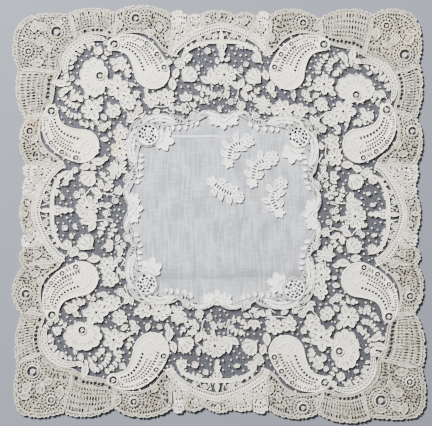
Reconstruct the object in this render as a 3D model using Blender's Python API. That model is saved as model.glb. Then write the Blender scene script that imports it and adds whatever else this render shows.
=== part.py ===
"""A square needle-lace handkerchief with a fine lawn centre, laid flat with its right side up.

The lace border is one sheet: a net ground with the worked motifs standing proud of it. Its inner edge is a
scrolled frame that holds the lawn, and in each corner of that frame sits a round openwork filling.
Plan sizes below are millimetres from the pattern's middle, +X to the right and +Y up the cloth. The part's
origin is the middle of the cloth's box, at the surface that it lies on.
"""

import functools
import math

import bmesh
import bpy

MM = 0.001

# Heights above the surface that the cloth lies on, in millimetres
NET_TOP = 1.0
LAWN_TOP = 0.9
ROUNDEL_TOP = 1.3
RELIEF_LOW = 0.4
GAP = 0.3

# The worked edge
PICOT_PITCH = 4.6
PICOT_RISE = 0.9
PICOT_STEPS = 2
SCALLOP_PICOTS = 3
SCALLOP_RISE = 0.6
EDGE_BAND_INSET = 1.6
EDGE_BAND_WIDTH = 15.0
DIP_REACH = 7.0

# The scrolled frame round the lawn
FRAME_WIDTH = 11.0
FRAME_STEP = 0.6
ROUNDEL_CENTRE = 75.0
ROUNDEL_RADIUS = 10.0
ROUNDEL_RIM = 1.0
# The lawn's own edge: points a side, the height of its wave, and the bay cut in round each roundel
LAWN_STEPS = 12
LAWN_WAVE = 1.6
BAY_MARGIN = 5.0
BAY_STEP = 3.0
BAY_DEPTH = 10.0

# Each side runs clockwise round the cloth, so "along" grows to the right on the top side.
# A valley is a notch of the edge: (along, out). A peak is how far out the lobe between two valleys reaches.
SIDES = (
    {
        "name": "top",
        "valleys": (
            (-150, 198), (-103, 199), (-47.5, 197), (-31.5, 196), (-18, 197),
            (17.5, 196), (37.5, 195), (51.5, 196), (100.5, 192), (153.5, 197),
        ),
        "peaks": (204, 207, 202, 198, 202, 200, 201, 203, 203),
    },
    {
        "name": "right",
        "valleys": (
            (-149, 199.5), (-95, 196.5), (-49, 196.5), (-30, 195.5), (-19, 196.5),
            (21, 196.5), (34, 194.5), (51, 196.5), (99, 194.5), (154, 202.5),
        ),
        "peaks": (203.5, 203.5, 199.5, 198, 201.5, 198.5, 201.5, 204.5, 205.5),
    },
    {
        "name": "bottom",
        "valleys": (
            (-152, 204), (-99, 199), (-50, 195), (-34, 195), (-14, 195),
            (14.5, 192), (33.5, 194), (46.5, 193), (104.5, 193), (153.5, 199),
        ),
        "peaks": (209, 205, 200, 198, 199, 198, 200, 204, 203),
    },
    {
        "name": "left",
        "valleys": (
            (-151, 200.5), (-101, 195.5), (-54, 193.5), (-35, 193.5), (-21, 192.5),
            (17, 193.5), (36, 190.5), (49, 190.5), (93, 191.5), (142, 198.5),
        ),
        "peaks": (202.5, 205.5, 198.5, 196.5, 198.5, 195.5, 195.5, 198.5, 201.5),
    },
)
# The corner lobe after each side: how far out it reaches on that side and on the next, and how square it is.
CORNERS = (
    {"name": "top right", "out_before": 204, "out_after": 203, "square": 4.2},
    {"name": "bottom right", "out_before": 207, "out_after": 206, "square": 6.5},
    {"name": "bottom left", "out_before": 204, "out_after": 204, "square": 6.5},
    {"name": "top left", "out_before": 205.5, "out_after": 199, "square": 4.2},
)

# The pattern repeats by quarter turns, and the hand-laid cloth pulls each repeat a little out of true.
# "at" is a landmark in the top left quarter; "pulls" are its moves there and in the next three, clockwise.
LANDMARKS = (
    {"at": (-160, 185.5), "pulls": ((-2.5, -4.5), (1, -3), (2, -2.5), (-1, 2))},
    {"at": (-188.5, 169.5), "pulls": ((-1, -9), (0, -1.5), (3.5, -1.3), (1.3, 1.9))},
    {"at": (-105, 169), "pulls": ((0.1, 1.1), (-0.1, -1.2), (3.1, -1.6), (2.6, 2.4))},
    {"at": (-165, 106), "pulls": ((1.9, -2.6), (1.7, 0.3), (2.8, 0.6), (-1.5, 1.3))},
    {"at": (4.4, 134), "pulls": ((1.6, 4.8), (2.5, 1), (1, 0.6), (2.6, 0.7))},
    {"at": (3, 91), "pulls": ((3.1, 4.6), (5.5, 1), (1.7, 4), (6, 2.9))},
    {"at": (-75, 75), "pulls": ((5.3, 4.3), (6.1, 1.5), (0.5, -1.4), (3.2, 5.6))},
)
PULL_REACH = 38.0
PULL_HOLD = 0.25

# Half of the frame's outer edge, from its cusp in the middle of a side to the corner: (along, out)
FRAME_HALF = (
    (0, 91), (3, 94), (9, 97.5), (16, 98.5), (23, 95.5), (28, 99), (34, 95), (38, 89.5),
    (43, 93), (52, 92.5), (62, 92.5), (71, 91), (79, 87), (84.5, 84.5),
)
FRAME_CUSP_SHIFT = 3.0

# Motifs of one quarter, each as a raised plate. Places are in the top left quarter before the pull.
PALMS = (
    {"name": "palm_a", "tip": (-104, 168), "bend": (-76, 173), "head": (-67, 139)},
    {"name": "palm_b", "tip": (-168, 104), "bend": (-173, 76), "head": (-139, 67)},
)
PALM_HALF_WIDTHS = (4.5, 13.5, 17.0)
PALM_RISE = 1.55
# Rings: centre, outer radius, and the radii of the sunk round and of the boss in it
RINGS = (
    {"at": (-160, 185.5), "outer": 8.0, "hole": 5.4, "boss": 2.6},
    {"at": (-105, 169), "outer": 5.2, "hole": 3.5, "boss": 2.0},
    {"at": (-165, 106), "outer": 5.2, "hole": 3.6, "boss": 2.1},
    {"at": (-82, 194), "outer": 6.0, "hole": 4.2, "boss": 2.2},
)
RING_RISE = 1.7
# Scrolls are arcs: centre, radius, half width, first and last angle in degrees
SCROLLS = (
    {"name": "horn", "centre": (-125, 148), "radius": 27.5, "half": 2.6, "angles": (200, 68)},
    {"name": "arch", "centre": (2, 134), "radius": 34.0, "half": 2.2, "angles": (150, 28)},
)
SCROLL_RISE = 1.5
# Flowers: centre, radius, petals, depth of the notches between the petals as a share, turn in degrees
FLOWERS = (
    {"name": "rose", "at": (-127, 136), "radius": 16.5, "petals": 7, "notch": 0.14, "turn": 10},
    {"name": "daisy", "at": (4.4, 134), "radius": 11.5, "petals": 10, "notch": 0.16, "turn": 0},
    {"name": "aster", "at": (-128.5, 104), "radius": 10.0, "petals": 6, "notch": 0.2, "turn": 25},
    {"name": "lily", "at": (-101, 120), "radius": 11.5, "petals": 6, "notch": 0.22, "turn": 0},
    {"name": "pink", "at": (-54.6, 113), "radius": 9.0, "petals": 5, "notch": 0.22, "turn": 15},
    {"name": "vine", "at": (-106, 62), "radius": 9.0, "petals": 5, "notch": 0.22, "turn": 70},
    {"name": "fan", "at": (-26, 136), "radius": 10.5, "petals": 7, "notch": 0.18, "turn": 40},
    {"name": "shell", "at": (31, 136), "radius": 10.5, "petals": 7, "notch": 0.18, "turn": 5},
)
FLOWER_RISE = 1.62
SPIRE = {"foot": (2, 148), "tip": (2, 172), "half": 6.0}
SPIRE_RISE = 1.75
# Sprays worked on the lawn: centre, radius, petals, and the leaves' directions in degrees
SPRAYS = (
    {"at": (27, 61), "radius": 7.0, "petals": 6, "leaves": (50, 195, 300)},
    {"at": (46, 43), "radius": 7.5, "petals": 6, "leaves": (80, 170, 260, 350)},
    {"at": (61, 20), "radius": 7.0, "petals": 6, "leaves": (60, 150, 290)},
    {"at": (7, 18), "radius": 6.5, "petals": 5, "leaves": (30, 150, 270)},
)
SPRAY_NOTCH = 0.22
SPRAY_LEAF = {"length": 9.5, "half": 2.6}
SPRAY_RISE = 1.2
# An openwork roundel: petal-shaped holes round a hub
ROUNDEL_HOLES = 8
ROUNDEL_HOLE = {"inner": 3.6, "outer": 7.6, "share": 0.62}
ROUNDEL_HUB = 1.3

COLOURS = {
    "lace": (0.78, 0.76, 0.68, 1.0),
    "lawn": (0.62, 0.63, 0.66, 1.0),
}


def clear_scene():
    """Removes whatever the file opened with."""
    for old in list(bpy.data.objects):
        bpy.data.objects.remove(old)


def thread(name):
    """A matt cotton material in the named colour."""
    material = bpy.data.materials.new(name)
    material.use_nodes = True
    shader = material.node_tree.nodes["Principled BSDF"]
    shader.inputs["Base Color"].default_value = COLOURS[name]
    shader.inputs["Roughness"].default_value = 0.85
    shader.inputs["Metallic"].default_value = 0.0
    return material


def turned(point, quarters):
    """The point after that many clockwise quarter turns about the cloth's middle."""
    x, y = point
    for _ in range(quarters % 4):
        x, y = y, -x
    return x, y


def settled(point):
    """The point as the hand-laid cloth carries it, from the pulls of the landmarks near it."""
    weight = PULL_HOLD
    shift_x = shift_y = 0.0
    for mark in LANDMARKS:
        for quarter, pull in enumerate(mark["pulls"]):
            centre = turned(mark["at"], quarter)
            near = math.exp(-((math.dist(point, centre) / PULL_REACH) ** 2))
            weight += near
            shift_x += near * pull[0]
            shift_y += near * pull[1]
    return point[0] + shift_x / weight, point[1] + shift_y / weight


def placed(outline, quarter):
    """An outline of the top left quarter, turned to its own quarter and settled."""
    return [settled(turned(point, quarter)) for point in outline]


def lobe_points(side):
    """A side's lobes from its first valley to its last, as (along, out)."""
    points = []
    ends = zip(side["valleys"], side["valleys"][1:])
    for (start, finish), peak in zip(ends, side["peaks"]):
        steps = max(6, round((finish[0] - start[0]) / 2.0))
        for step in range(steps):
            share = step / steps
            floor = start[1] + (finish[1] - start[1]) * share
            rise = (peak - (start[1] + finish[1]) / 2) * math.sin(math.pi * share) ** 0.62
            points.append((start[0] + (finish[0] - start[0]) * share, floor + rise))
    return points


def corner_points(corner, before, after):
    """The rounded lobe at a corner, from the last valley of one side to the first valley of the next."""
    points = []
    steps = 44
    start_along, start_out = before["valleys"][-1]
    after_along, after_out = after["valleys"][0]
    power = 2 / corner["square"]
    for step in range(steps):
        angle = math.pi / 2 * (1 - step / steps)
        span_along = corner["out_after"] - start_along
        span_out = corner["out_before"] + after_along
        along = start_along + span_along * math.cos(angle) ** power
        out = -after_along + span_out * math.sin(angle) ** power
        dip_before = (corner["out_before"] - start_out) * math.exp((start_along - along) / DIP_REACH)
        dip_after = (corner["out_after"] - after_out) * math.exp((-after_along - out) / DIP_REACH)
        points.append((along - dip_after, out - dip_before))
    return points


def edge_path():
    """The cloth's edge without its picots, clockwise from the top side's first valley."""
    path = []
    for number, side in enumerate(SIDES):
        after = SIDES[(number + 1) % 4]
        for along, out in lobe_points(side) + corner_points(CORNERS[number], side, after):
            path.append(turned((along, out), number))
    return path


def evenly(path, count):
    """count points at equal steps along a closed path."""
    closed = path + path[:1]
    lengths = [0.0]
    for a, b in zip(closed, closed[1:]):
        lengths.append(lengths[-1] + math.dist(a, b))
    points = []
    index = 0
    for step in range(count):
        target = lengths[-1] * step / count
        while lengths[index + 1] < target:
            index += 1
        share = (target - lengths[index]) / (lengths[index + 1] - lengths[index])
        a, b = closed[index], closed[index + 1]
        points.append((a[0] + (b[0] - a[0]) * share, a[1] + (b[1] - a[1]) * share))
    return points


def path_length(path):
    return sum(math.dist(a, b) for a, b in zip(path, path[1:] + path[:1]))


def offset_path(path, distance):
    """A closed clockwise path moved outwards by distance, or by distance(i) at point i."""
    moved = []
    count = len(path)
    for i, point in enumerate(path):
        before, after = path[i - 1], path[(i + 1) % count]
        dx, dy = after[0] - before[0], after[1] - before[1]
        length = math.hypot(dx, dy)
        reach = distance(i) if callable(distance) else distance
        moved.append((point[0] - dy / length * reach, point[1] + dx / length * reach))
    return moved


def picot_edge():
    """The cloth's outline: small loops of thread all round, a few to each scallop."""
    path = edge_path()
    scallops = round(path_length(path) / (PICOT_PITCH * SCALLOP_PICOTS))
    per_scallop = SCALLOP_PICOTS * PICOT_STEPS
    even = evenly(path, scallops * per_scallop)

    def rise(i):
        picot = abs(math.sin(math.pi * i / PICOT_STEPS))
        scallop = abs(math.sin(math.pi * i / per_scallop))
        return PICOT_RISE * picot + SCALLOP_RISE * scallop - PICOT_RISE

    return offset_path(even, rise)


@functools.cache
def cloth_middle():
    """The middle of the cloth's box, which is the part's origin."""
    across, up = zip(*picot_edge())
    return (min(across) + max(across)) / 2, (min(up) + max(up)) / 2


def frame_edge():
    """The outer edge of the scrolled frame round the lawn, clockwise, before the cloth's pull."""
    half = [(-along + FRAME_CUSP_SHIFT, out) for along, out in reversed(FRAME_HALF[1:-1])]
    side = half + [(along + FRAME_CUSP_SHIFT, out) for along, out in FRAME_HALF[:-1]]
    rounded = []
    for quarter in range(4):
        rounded += [turned(point, quarter) for point in side]
        rounded.append(turned((FRAME_HALF[-1][0], FRAME_HALF[-1][1]), quarter))
    return rounded


def lawn_edge():
    """Where the frame's inner edge meets the lawn: straight runs with a low wave, cut in round each roundel."""
    reach = FRAME_HALF[0][1] - FRAME_WIDTH
    corner = ROUNDEL_CENTRE - ROUNDEL_RADIUS - BAY_MARGIN
    side = []
    for step in range(LAWN_STEPS + 1):
        along = -corner + 2 * corner * step / LAWN_STEPS
        side.append((along, reach + LAWN_WAVE * math.cos(math.tau * step / 4)))
    shallow, deep = corner + BAY_STEP, corner + BAY_DEPTH
    bay = [(shallow, deep), (shallow, shallow), (deep, shallow)]
    edge = []
    for quarter in range(4):
        edge += [settled(turned(point, quarter)) for point in side + bay]
    return edge


def circle(centre, radius, steps, turn=0.0):
    return [
        (
            centre[0] + radius * math.cos(math.tau * i / steps + turn),
            centre[1] + radius * math.sin(math.tau * i / steps + turn),
        )
        for i in range(steps)
    ]


def flower(at, radius, petals, notch, turn):
    """A round flower's outline with a shallow notch between its petals."""
    steps = 2 * petals
    outline = []
    for i in range(steps):
        angle = math.tau * i / steps + math.radians(turn)
        reach = radius if i % 2 else radius * (1 - notch)
        outline.append((at[0] + reach * math.cos(angle), at[1] + reach * math.sin(angle)))
    return outline


def leaf(at, direction, length, half):
    """A pointed leaf that grows from at, as two shallow curves."""
    ahead = (math.cos(math.radians(direction)), math.sin(math.radians(direction)))
    outline = []
    steps = 5
    for side in (1, -1):
        for i in range(steps):
            share = i / steps if side == 1 else 1 - i / steps
            width = side * half * math.sin(math.pi * share)
            outline.append(
                (
                    at[0] + ahead[0] * length * share - ahead[1] * width,
                    at[1] + ahead[1] * length * share + ahead[0] * width,
                )
            )
    return outline


def palm(tip, bend, head):
    """A palm or paisley drop: a curved spine that widens to a round head."""
    narrow, middle, wide = PALM_HALF_WIDTHS
    steps = 6
    left, right = [], []
    for i in range(steps + 1):
        t = i / steps
        x = (1 - t) ** 2 * tip[0] + 2 * t * (1 - t) * bend[0] + t * t * head[0]
        y = (1 - t) ** 2 * tip[1] + 2 * t * (1 - t) * bend[1] + t * t * head[1]
        along_x = (1 - t) * (bend[0] - tip[0]) + t * (head[0] - bend[0])
        along_y = (1 - t) * (bend[1] - tip[1]) + t * (head[1] - bend[1])
        length = math.hypot(along_x, along_y)
        half = (1 - t) ** 2 * narrow + 2 * t * (1 - t) * middle + t * t * wide
        left.append((x - along_y / length * half, y + along_x / length * half))
        right.append((x + along_y / length * half, y - along_x / length * half))
    ahead = math.atan2(head[1] - bend[1], head[0] - bend[0])
    cap = []
    for i in range(1, 6):
        angle = ahead + math.pi / 2 - math.pi * i / 6
        cap.append((head[0] + wide * math.cos(angle), head[1] + wide * math.sin(angle)))
    return left + cap + right[::-1]


def arc_band(centre, radius, half, angles):
    """A band along an arc, with its ends square."""
    first, last = (math.radians(angle) for angle in angles)
    steps = 9
    outer, inner = [], []
    for i in range(steps + 1):
        angle = first + (last - first) * i / steps
        for side, reach in ((outer, radius + half), (inner, radius - half)):
            side.append((centre[0] + reach * math.cos(angle), centre[1] + reach * math.sin(angle)))
    return outer + inner[::-1]


def spire(foot, tip, half):
    """The palmette over the daisy: three stacked leaf pairs that narrow to the tip."""
    length = tip[1] - foot[1]
    rows = ((0.0, 0.12), (0.16, 0.62), (0.28, 0.4), (0.46, 1.0), (0.58, 0.5), (0.74, 0.66), (0.84, 0.26))
    right = [(foot[0] + half * wide, foot[1] + length * up) for up, wide in rows]
    left = [(foot[0] - half * wide, foot[1] + length * up) for up, wide in reversed(rows)]
    return right + [tip] + left


def plate(name, outlines, low, high):
    """A closed mesh between two heights, filled inside the first outline and open inside the others."""
    curve = bpy.data.curves.new(name, "CURVE")
    curve.dimensions = "2D"
    curve.fill_mode = "BOTH"
    curve.extrude = (high - low) / 2 * MM
    for outline in outlines:
        spline = curve.splines.new("POLY")
        spline.points.add(len(outline) - 1)
        for point, (x, y) in zip(spline.points, outline):
            point.co = (x * MM, y * MM, 0.0, 1.0)
        spline.use_cyclic_u = True
    drawn = bpy.data.objects.new(name + "_drawn", curve)
    middle = cloth_middle()
    drawn.location = (-middle[0] * MM, -middle[1] * MM, (high + low) / 2 * MM)
    bpy.context.scene.collection.objects.link(drawn)
    bpy.context.view_layer.update()
    graph = bpy.context.evaluated_depsgraph_get()
    mesh = bpy.data.meshes.new_from_object(drawn.evaluated_get(graph))
    mesh.name = name
    solid = bpy.data.objects.new(name, mesh)
    solid.matrix_world = drawn.matrix_world
    bpy.data.objects.remove(drawn)
    shape = bmesh.new()
    shape.from_mesh(mesh)
    bmesh.ops.remove_doubles(shape, verts=shape.verts, dist=0.00001)
    bmesh.ops.recalc_face_normals(shape, faces=shape.faces)
    shape.to_mesh(mesh)
    shape.free()
    return solid


def quarter_motifs(quarter):
    """The raised motifs of one quarter, as (name, outlines, top)."""
    motifs = []
    for row in PALMS:
        outline = palm(row["tip"], row["bend"], row["head"])
        motifs.append((row["name"], [placed(outline, quarter)], PALM_RISE))
    for row in SCROLLS:
        outline = arc_band(row["centre"], row["radius"], row["half"], row["angles"])
        motifs.append((row["name"], [placed(outline, quarter)], SCROLL_RISE))
    for row in FLOWERS:
        outline = flower(row["at"], row["radius"], row["petals"], row["notch"], row["turn"])
        motifs.append((row["name"], [placed(outline, quarter)], FLOWER_RISE))
    for number, row in enumerate(RINGS):
        rim = placed(circle(row["at"], row["outer"], 10), quarter)
        well = placed(circle(row["at"], row["hole"], 8), quarter)
        boss = placed(circle(row["at"], row["boss"], 5), quarter)
        motifs.append((f"ring_{number}", [rim, well], RING_RISE))
        motifs.append((f"boss_{number}", [boss], RING_RISE))
    outline = spire(SPIRE["foot"], SPIRE["tip"], SPIRE["half"])
    motifs.append(("spire", [placed(outline, quarter)], SPIRE_RISE))
    return motifs


def lace_border(collection, reliefs):
    """The lace: a net sheet from the picot edge to the lawn, with its motifs joined to it."""
    lawn_side = offset_path(lawn_edge(), GAP)
    wells = [
        circle(settled(turned((-ROUNDEL_CENTRE, ROUNDEL_CENTRE), quarter)), ROUNDEL_RADIUS + GAP, 20)
        for quarter in range(4)
    ]
    border = plate("lace_border", [picot_edge(), lawn_side, *wells], 0.0, NET_TOP)
    collection.objects.link(border)
    border.data.materials.append(bpy.data.materials["lace"])

    smooth_edge = evenly(edge_path(), 132)
    outer = offset_path(smooth_edge, -EDGE_BAND_INSET)
    inner = offset_path(smooth_edge, -EDGE_BAND_WIDTH)
    relief(reliefs, "edge_band", [outer, inner], 1.45)

    frame_outer = [settled(point) for point in frame_edge()]
    frame_inner = offset_path(lawn_side, FRAME_STEP)
    rims = [
        circle(settled(turned((-ROUNDEL_CENTRE, ROUNDEL_CENTRE), quarter)), ROUNDEL_RADIUS + ROUNDEL_RIM, 20)
        for quarter in range(4)
    ]
    relief(reliefs, "frame", [frame_outer, frame_inner, *rims], 1.5)

    for quarter in range(4):
        for name, outlines, top in quarter_motifs(quarter):
            relief(reliefs, f"{name}_{quarter + 1}", outlines, top)

    join = border.modifiers.new("worked motifs", "BOOLEAN")
    join.operation = "UNION"
    join.operand_type = "COLLECTION"
    join.collection = reliefs
    join.solver = "EXACT"
    return border


def relief(collection, name, outlines, top):
    """A plate that is only there to be joined to a sheet."""
    solid = plate(name, outlines, RELIEF_LOW, top)
    solid.hide_render = True
    solid.display_type = "WIRE"
    collection.objects.link(solid)
    return solid


def lawn_panel(collection, reliefs):
    """The lawn: a thin plain sheet inside the frame, with flower sprays worked on it."""
    lawn = plate("lawn_panel", [lawn_edge()], 0.0, LAWN_TOP)
    collection.objects.link(lawn)
    lawn.data.materials.append(bpy.data.materials["lawn"])
    for number, row in enumerate(SPRAYS):
        bloom = flower(row["at"], row["radius"], row["petals"], SPRAY_NOTCH, 0)
        relief(reliefs, f"spray_{number}", [bloom], SPRAY_RISE)
        for turn, direction in enumerate(row["leaves"]):
            foot = (
                row["at"][0] + (row["radius"] - 1.5) * math.cos(math.radians(direction)),
                row["at"][1] + (row["radius"] - 1.5) * math.sin(math.radians(direction)),
            )
            blade = leaf(foot, direction, SPRAY_LEAF["length"], SPRAY_LEAF["half"])
            relief(reliefs, f"spray_{number}_leaf_{turn}", [blade], SPRAY_RISE - 0.08)
    join = lawn.modifiers.new("worked sprays", "BOOLEAN")
    join.operation = "UNION"
    join.operand_type = "COLLECTION"
    join.collection = reliefs
    join.solver = "EXACT"
    return lawn


def roundel(collection, quarter):
    """A round openwork filling: petal-shaped holes about a pierced hub."""
    centre = settled(turned((-ROUNDEL_CENTRE, ROUNDEL_CENTRE), quarter))
    outlines = [circle(centre, ROUNDEL_RADIUS, 20)]
    for number in range(ROUNDEL_HOLES):
        middle = math.tau * number / ROUNDEL_HOLES
        half = math.pi / ROUNDEL_HOLES * ROUNDEL_HOLE["share"]
        hole = []
        for radius, spread in (
            (ROUNDEL_HOLE["inner"], -0.5),
            (ROUNDEL_HOLE["inner"], 0.5),
            (ROUNDEL_HOLE["outer"] - 1.0, 1.0),
            (ROUNDEL_HOLE["outer"], 0.0),
            (ROUNDEL_HOLE["outer"] - 1.0, -1.0),
        ):
            angle = middle + half * spread
            hole.append((centre[0] + radius * math.cos(angle), centre[1] + radius * math.sin(angle)))
        outlines.append(hole)
    outlines.append(circle(centre, ROUNDEL_HUB, 6))
    filling = plate(f"roundel_{quarter + 1}", outlines, 0.0, ROUNDEL_TOP)
    collection.objects.link(filling)
    filling.data.materials.append(bpy.data.materials["lace"])
    return filling


def main():
    clear_scene()
    for name in COLOURS:
        thread(name)
    cloth = bpy.data.collections.new("lace_handkerchief")
    lace_reliefs = bpy.data.collections.new("lace_reliefs")
    lawn_reliefs = bpy.data.collections.new("lawn_reliefs")
    for collection in (cloth, lace_reliefs, lawn_reliefs):
        bpy.context.scene.collection.children.link(collection)
    lace_border(cloth, lace_reliefs)
    lawn_panel(cloth, lawn_reliefs)
    for quarter in range(4):
        roundel(cloth, quarter)


main()
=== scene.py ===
"""The looks of a square needle-lace handkerchief laid flat: net ground, clothwork, raised cords and a lawn centre.

Every motif is drawn in plan in millimetres, in the pattern's own frame: its middle is the cloth's middle, +X is
to the right and +Y up the cloth. Most are drawn once, in the top left quarter, and repeat by quarter turns.
The hand-laid cloth pulls each repeat a little out of true.
"""

import functools
import math

import bpy
import numpy as np
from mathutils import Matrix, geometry


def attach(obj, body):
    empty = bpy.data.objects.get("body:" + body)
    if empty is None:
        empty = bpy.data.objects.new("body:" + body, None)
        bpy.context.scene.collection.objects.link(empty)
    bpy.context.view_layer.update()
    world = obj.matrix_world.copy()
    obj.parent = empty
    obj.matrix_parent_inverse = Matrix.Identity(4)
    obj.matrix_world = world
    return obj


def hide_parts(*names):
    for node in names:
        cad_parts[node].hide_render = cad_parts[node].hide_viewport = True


bl_info = {
    "name": "Lace handkerchief",
    "version": (1, 0, 0),
    "blender": (4, 5, 0),
    "location": "View3D > Sidebar > Lace",
    "description": "Works a needle-lace handkerchief round its packed solids",
    "category": "Add Mesh",
}

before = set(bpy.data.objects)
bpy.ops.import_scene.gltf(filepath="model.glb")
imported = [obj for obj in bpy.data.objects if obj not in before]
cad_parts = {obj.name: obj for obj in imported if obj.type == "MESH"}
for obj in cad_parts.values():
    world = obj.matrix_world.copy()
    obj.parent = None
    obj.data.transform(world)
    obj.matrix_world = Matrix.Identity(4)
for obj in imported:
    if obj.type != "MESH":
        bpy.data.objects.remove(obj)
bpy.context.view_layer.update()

MM = 0.001

# Heights above the surface the cloth lies on, in millimetres
NET_HEIGHT = 0.55
CLOTH_LOW = 0.1
CLOTH_HIGH = 1.3
MOTIF_LOW = 0.5
MOTIF_HIGH = 1.4
LAWN_HEIGHT = 0.35
LAWN_THICK = 0.25
FRAME_HIGH = 1.35
LAY_RISE = 0.12

# The worked edge
PICOT_PITCH = 4.8
PICOT_RISE = 2.4
PICOT_STEPS = 6
PICOT_OUT = 0.5
DIP_REACH = 7.0

# Each side runs clockwise, so "along" grows to the right on the top side. A valley is a notch of the edge:
# (along, out). A peak is how far out the lobe between two valleys reaches.
SIDES = (
    {
        "name": "top",
        "valleys": (
            (-150, 198), (-103, 199), (-47.5, 197), (-31.5, 196), (-18, 197),
            (17.5, 196), (37.5, 195), (51.5, 196), (100.5, 192), (153.5, 197),
        ),
        "peaks": (204, 207, 202, 198, 202, 200, 201, 203, 203),
    },
    {
        "name": "right",
        "valleys": (
            (-149, 199.5), (-95, 196.5), (-49, 196.5), (-30, 195.5), (-19, 196.5),
            (21, 196.5), (34, 194.5), (51, 196.5), (99, 194.5), (154, 202.5),
        ),
        "peaks": (203.5, 203.5, 199.5, 198, 201.5, 198.5, 201.5, 204.5, 205.5),
    },
    {
        "name": "bottom",
        "valleys": (
            (-152, 204), (-99, 199), (-50, 195), (-34, 195), (-14, 195),
            (14.5, 192), (33.5, 194), (46.5, 193), (104.5, 193), (153.5, 199),
        ),
        "peaks": (209, 205, 200, 198, 199, 198, 200, 204, 203),
    },
    {
        "name": "left",
        "valleys": (
            (-151, 200.5), (-101, 195.5), (-54, 193.5), (-35, 193.5), (-21, 192.5),
            (17, 193.5), (36, 190.5), (49, 190.5), (93, 191.5), (142, 198.5),
        ),
        "peaks": (202.5, 205.5, 198.5, 196.5, 198.5, 195.5, 195.5, 198.5, 201.5),
    },
)
CORNERS = (
    {"name": "top right", "out_before": 204, "out_after": 203, "square": 4.2},
    {"name": "bottom right", "out_before": 207, "out_after": 206, "square": 6.5},
    {"name": "bottom left", "out_before": 204, "out_after": 204, "square": 6.5},
    {"name": "top left", "out_before": 205.5, "out_after": 199, "square": 4.2},
)

# "at" is a landmark of the top left quarter; "pulls" are its moves there and in the next three, clockwise.
LANDMARKS = (
    {"at": (-160, 185.5), "pulls": ((-2.5, -4.5), (1, -3), (2, -2.5), (-1, 2))},
    {"at": (-188.5, 169.5), "pulls": ((-1, -9), (0, -1.5), (3.5, -1.3), (1.3, 1.9))},
    {"at": (-105, 169), "pulls": ((0.1, 1.1), (-0.1, -1.2), (3.1, -1.6), (2.6, 2.4))},
    {"at": (-165, 106), "pulls": ((1.9, -2.6), (1.7, 0.3), (2.8, 0.6), (-1.5, 1.3))},
    {"at": (4.4, 134), "pulls": ((1.6, 4.8), (2.5, 1), (1, 0.6), (2.6, 0.7))},
    {"at": (3, 91), "pulls": ((3.1, 4.6), (5.5, 1), (1.7, 4), (6, 2.9))},
    {"at": (-75, 75), "pulls": ((5.3, 4.3), (6.1, 1.5), (0.5, -1.4), (3.2, 5.6))},
)
PULL_REACH = 38.0
PULL_HOLD = 0.25

# The middle of the solids' outline, which is the part's origin
EDGE_MIDDLE = (0.807, -1.113)

# The scrolled frame round the lawn. Half of each edge runs from the cusp in the middle of a side to the
# corner, as (along, out).
FRAME_OUTER_HALF = (
    (0, 91), (3, 94), (9, 97.5), (16, 98.5), (23, 95.5), (28, 99), (33.5, 94), (38, 89),
    (43.5, 92.5), (52, 94.5), (62, 95.5), (70, 95), (77, 93), (83, 90), (87.5, 87.5),
)
FRAME_INNER_HALF = (
    (0, 86), (4, 89.5), (10, 92.8), (16, 93.4), (22, 90.5), (28, 88), (35, 84.5),
    (43, 86), (52, 84.5), (59, 83.5), (62.5, 80.5), (61.5, 74.5), (63, 69), (65.5, 65.5),
)
FRAME_CUSP_SHIFT = 3.0
ROUNDEL_CENTRE = 75.0
ROUNDEL_RADIUS = 10.3

# The inner edge of the dense border behind each lobe of the top side, clockwise, then behind the corner after
# it. The lobes past the middle one mirror the first ones.
BAND_INNER = (
    ((-140, 175.5), (-131, 179), (-120, 179.5), (-110, 176.5), (-102.5, 175)),
    ((-102.5, 175), (-95, 178.3), (-85, 179.8), (-74, 178.3), (-63, 171.5), (-55, 161), (-47, 157)),
    ((-47, 157), (-39, 167), (-30, 173.5)),
    ((-30, 173.5), (-22, 179), (-13, 183)),
    ((-13, 183), (0, 186), (13, 183)),
    ((13, 183), (22, 179), (30, 173.5)),
    ((30, 173.5), (39, 167), (47, 157)),
    ((47, 157), (55, 161), (63, 171.5), (74, 178.3), (85, 179.8), (95, 178.3), (102.5, 175)),
    ((102.5, 175), (112, 168), (122, 165.5), (135, 163), (146, 157)),
)
CORNER_INNER = {"centre": (148, 125), "radius": 31.5, "angles": (92, 28)}

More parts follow.
